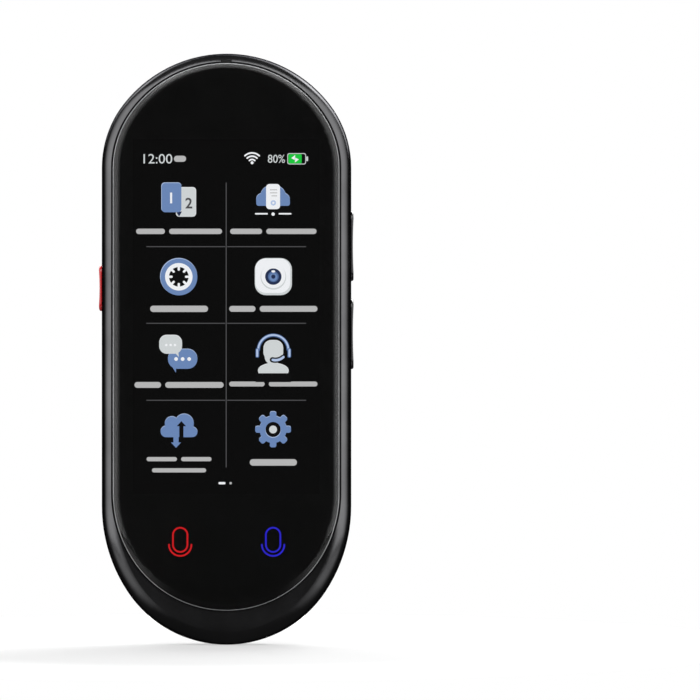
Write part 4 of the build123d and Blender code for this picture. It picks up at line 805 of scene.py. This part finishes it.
# ---------------------------------------------------------------- side keys
# Pill-shaped caps: two long ones in gloss black with a moulded-in light strip, and a shorter one in gloss red
# on the other edge. Behind each, a small switch with a steel cover sits on its own board.
GLOSS = {"Coat_Weight": 0.5, "Coat_Roughness": 0.08}
dress(moulded("key_black", (0.008, 0.008, 0.009), 0.24, 9000.0, 0.001, **GLOSS), "upper_key", "lower_key")
dress(moulded("key_red", (0.65, 0.019, 0.023), 0.28, 9000.0, 0.001, **GLOSS), "red_key")
dress(moulded("strip_red", (0.16, 0.028, 0.034), 0.3, 3000.0, 0.001, **GLOSS), "upper_key_light")
dress(moulded("strip_blue", (0.10, 0.25, 0.33), 0.3, 3000.0, 0.001, **GLOSS), "lower_key_light")
dress(brushed("switch_steel", (0.62, 0.62, 0.62), 0.32, 1.0), "upper_switch", "lower_switch", "red_switch")
dress(moulded("switch_pin", (0.3, 0.3, 0.29), 0.5, 4000.0, 0.002), "upper_switch_pin", "lower_switch_pin",
      "red_switch_pin")
dress(amber_flex, "upper_key_board", "lower_key_board", "red_key_board")

# ---------------------------------------------------------------- rear camera
# A turned and black anodised ring holds the window. The window has a black print on its inside, a blue-violet
# coated lens stands in a matt barrel, and the module behind it hangs on its own flex.
anodised, tree, shader = new_finish("anodised_black", Metallic=1.0, Anisotropic=0.5)
turned = add_node(tree, "Group", {"Color": (0.07, 0.07, 0.075, 1), "Roughness": 0.24, "Stretch": 1.0},
                  node_tree=brushed_metal)
tree.links.new(turned.outputs["Color"], shader.inputs["Base Color"])
tree.links.new(turned.outputs["Roughness"], shader.inputs["Roughness"])
dress(anodised, "camera_bezel")
dress(clear_glass("camera_glass", 0.01, 0.01), "camera_window")
coated, tree, shader = new_finish("coated_lens", Metallic=1.0, Roughness=0.06)
edgewise = add_node(tree, "LayerWeight", {"Blend": 0.35})
rainbow = mix_colors(tree, edgewise.outputs["Facing"], (0.012, 0.035, 0.30, 1), (0.16, 0.03, 0.34, 1))
speck = add_node(tree, "TexNoise", {"Vector": add_node(tree, "TexCoord").outputs["Object"], "Scale": 500.0})
uneven = ramp(tree, speck.outputs["Fac"], low=0.8, high=1.2)
tree.links.new(scaled(tree, rainbow, uneven), shader.inputs["Base Color"])
dress(coated, "camera_lens")
dress(moulded("barrel_black", (0.006, 0.006, 0.007), 0.5, 5000.0, 0.004), "camera_barrel", "camera_module")
dress(amber_flex, "camera_flex")

WINDOW_RADIUS = 4.83 * MM
IRIS_RADIUS = 2.55 * MM
window_low, window_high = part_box("camera_window")
camera_middle = (window_low + window_high) / 2
print_ring = bmesh.new()
rims = []
for radius in (WINDOW_RADIUS, IRIS_RADIUS):
    flat = Matrix.Translation((camera_middle.x, window_low.y + 2 * LAYER, camera_middle.z)) @ Matrix.Rotation(
        -math.pi / 2, 4, "X")
    made = bmesh.ops.create_circle(print_ring, segments=96, radius=radius, matrix=flat)
    rims += {edge for vert in made["verts"] for edge in vert.link_edges}
bmesh.ops.bridge_loops(print_ring, edges=rims)
thicken(print_ring, LAYER)
new_piece("camera_print", print_ring, [printed_black])

# ---------------------------------------------------------------- loudspeaker, microphones and their meshes
# Fine black wire cloth lies behind the grille and in the slit above the glass. The loudspeaker is a black box
# with a steel yoke, and the microphones and the buzzer are small steel cans.
wire_cloth, given, result = new_group(
    "wire_cloth", [("Color", "Color", (0.03, 0.03, 0.03, 1)), ("Pitch", "Float", 0.16 * MM)],
    [("Color", "Color"), ("Height", "Float")])
place = add_node(wire_cloth, "SeparateXYZ", {0: add_node(wire_cloth, "TexCoord").outputs["Object"]})
threads = []
for side in ("X", "Z"):
    turns = math_of(wire_cloth, "DIVIDE", place.outputs[side], given["Pitch"])
    threads.append(math_of(wire_cloth, "SINE", math_of(wire_cloth, "MULTIPLY", turns, 2 * math.pi)))
# The cloth is darker down between the thread crests than on them: partly the openings of the weave, partly
# painted shade.
raised = ramp(wire_cloth, math_of(wire_cloth, "MAXIMUM", *threads), -0.2, 1.0)
wire_cloth.links.new(scaled(wire_cloth, given["Color"], raised), result["Color"])
wire_cloth.links.new(raised, result["Height"])
woven, tree, shader = new_finish("woven_mesh", Roughness=0.6, Specular_IOR_Level=0.15)
cloth = add_node(tree, "Group", node_tree=wire_cloth)
bump = add_node(tree, "Bump", {"Height": cloth.outputs["Height"], "Distance": 0.05 * MM})
tree.links.new(cloth.outputs["Color"], shader.inputs["Base Color"])
tree.links.new(bump.outputs[0], shader.inputs["Normal"])
dress(woven, "speaker_mesh", "top_slit_mesh")
dress(moulded("speaker_box", (0.015, 0.015, 0.016), 0.5, 4000.0, 0.004), "loudspeaker")
dress(brushed("can_steel", (0.66, 0.65, 0.62), 0.34), "top_microphone", "bottom_microphone",
      "vibration_motor", "shield_cans")

# ---------------------------------------------------------------- charging socket
# A drawn nickel-plated steel shell on the lower board, round a black moulded tongue. The tongue carries ten
# gold-plated contacts on each face.
dress(brushed("socket_nickel", (0.60, 0.59, 0.56), 0.28), "charging_socket")
dress(moulded("tongue_black", (0.012, 0.012, 0.012), 0.45, 4000.0, 0.003), "socket_tongue")
CONTACTS = 10
CONTACT_PITCH = 0.55 * MM
CONTACT_SIZE = (0.3 * MM, 0.02 * MM, 3.2 * MM)
CONTACT_START = 0.35 * MM
CONTACT_EDGE = 0.006 * MM
tongue_low, tongue_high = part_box("socket_tongue")
tongue_x = (tongue_low.x + tongue_high.x) / 2
contact_z = tongue_low.z + CONTACT_START + CONTACT_SIZE[2] / 2
contacts = bmesh.new()
for index in range(CONTACTS):
    across = (index - (CONTACTS - 1) / 2) * CONTACT_PITCH
    for face_y in (tongue_low.y, tongue_high.y):
        middle = Matrix.Translation((tongue_x + across, face_y, contact_z))
        strip = bmesh.ops.create_cube(contacts, size=1.0, matrix=middle @ Matrix.Diagonal((*CONTACT_SIZE, 1)))
        lengthwise = [e for e in {e for v in strip["verts"] for e in v.link_edges}
                      if abs(e.verts[0].co.z - e.verts[1].co.z) > CONTACT_SIZE[2] / 2]
        bmesh.ops.bevel(contacts, geom=lengthwise, offset=CONTACT_EDGE, segments=2, profile=0.5,
                        affect="EDGES", material=-1)
new_piece("socket_contacts", contacts, [brushed("contact_gold", (0.83, 0.55, 0.18), 0.25)])

# ---------------------------------------------------------------- boards, battery and fixings
# Two green boards with chips under tin cans, joined by a flex and screwed to the tray, a pouch cell on
# stretch tape with its lead and plug, and the chip antenna. Small steel screws hold the tray to the bezel.
dress(circuit("green_board", (0.006, 0.075, 0.028), (0.012, 0.14, 0.055), 0.6, 0.35), "main_board",
      "lower_board")
dress(moulded("chip_epoxy", (0.014, 0.014, 0.015), 0.6, 3000.0, 0.004), "board_chips")
dress(amber_flex, "board_link_flex")
dress(brushed("screw_steel", (0.45, 0.45, 0.46), 0.35, 1.0), "board_screws", "rim_screws")
pouch, tree, shader = new_finish("cell_pouch", Metallic=0.85)
spot = add_node(tree, "TexCoord").outputs["Object"]
creases = add_node(tree, "TexVoronoi", {"Vector": spot, "Scale": 90.0}, feature="DISTANCE_TO_EDGE")
crinkle = ramp(tree, creases.outputs["Distance"], end=0.35)
# The foil is darker along its creases, a painted shade; the creases also get a bump and more roughness.
foil = mix_colors(tree, crinkle, (0.55, 0.55, 0.56, 1), (0.68, 0.68, 0.69, 1))
sheen = ramp(tree, crinkle, low=0.42, high=0.28)
bump = add_node(tree, "Bump", {"Height": crinkle, "Distance": 0.05 * MM})
tree.links.new(foil, shader.inputs["Base Color"])
tree.links.new(sheen, shader.inputs["Roughness"])
tree.links.new(bump.outputs[0], shader.inputs["Normal"])
dress(pouch, "battery")
dress(moulded("stretch_tape", (0.55, 0.56, 0.55), 0.6, 1500.0, 0.01), "battery_tape")
dress(moulded("lead_sleeve", (0.42, 0.02, 0.015), 0.5, 3000.0, 0.004), "battery_lead")
dress(moulded("plug_nylon", (0.62, 0.6, 0.54), 0.5, 3000.0, 0.004), "battery_plug")
dress(moulded("antenna_ceramic", (0.5, 0.5, 0.47), 0.4, 4000.0, 0.002), "wireless_antenna")
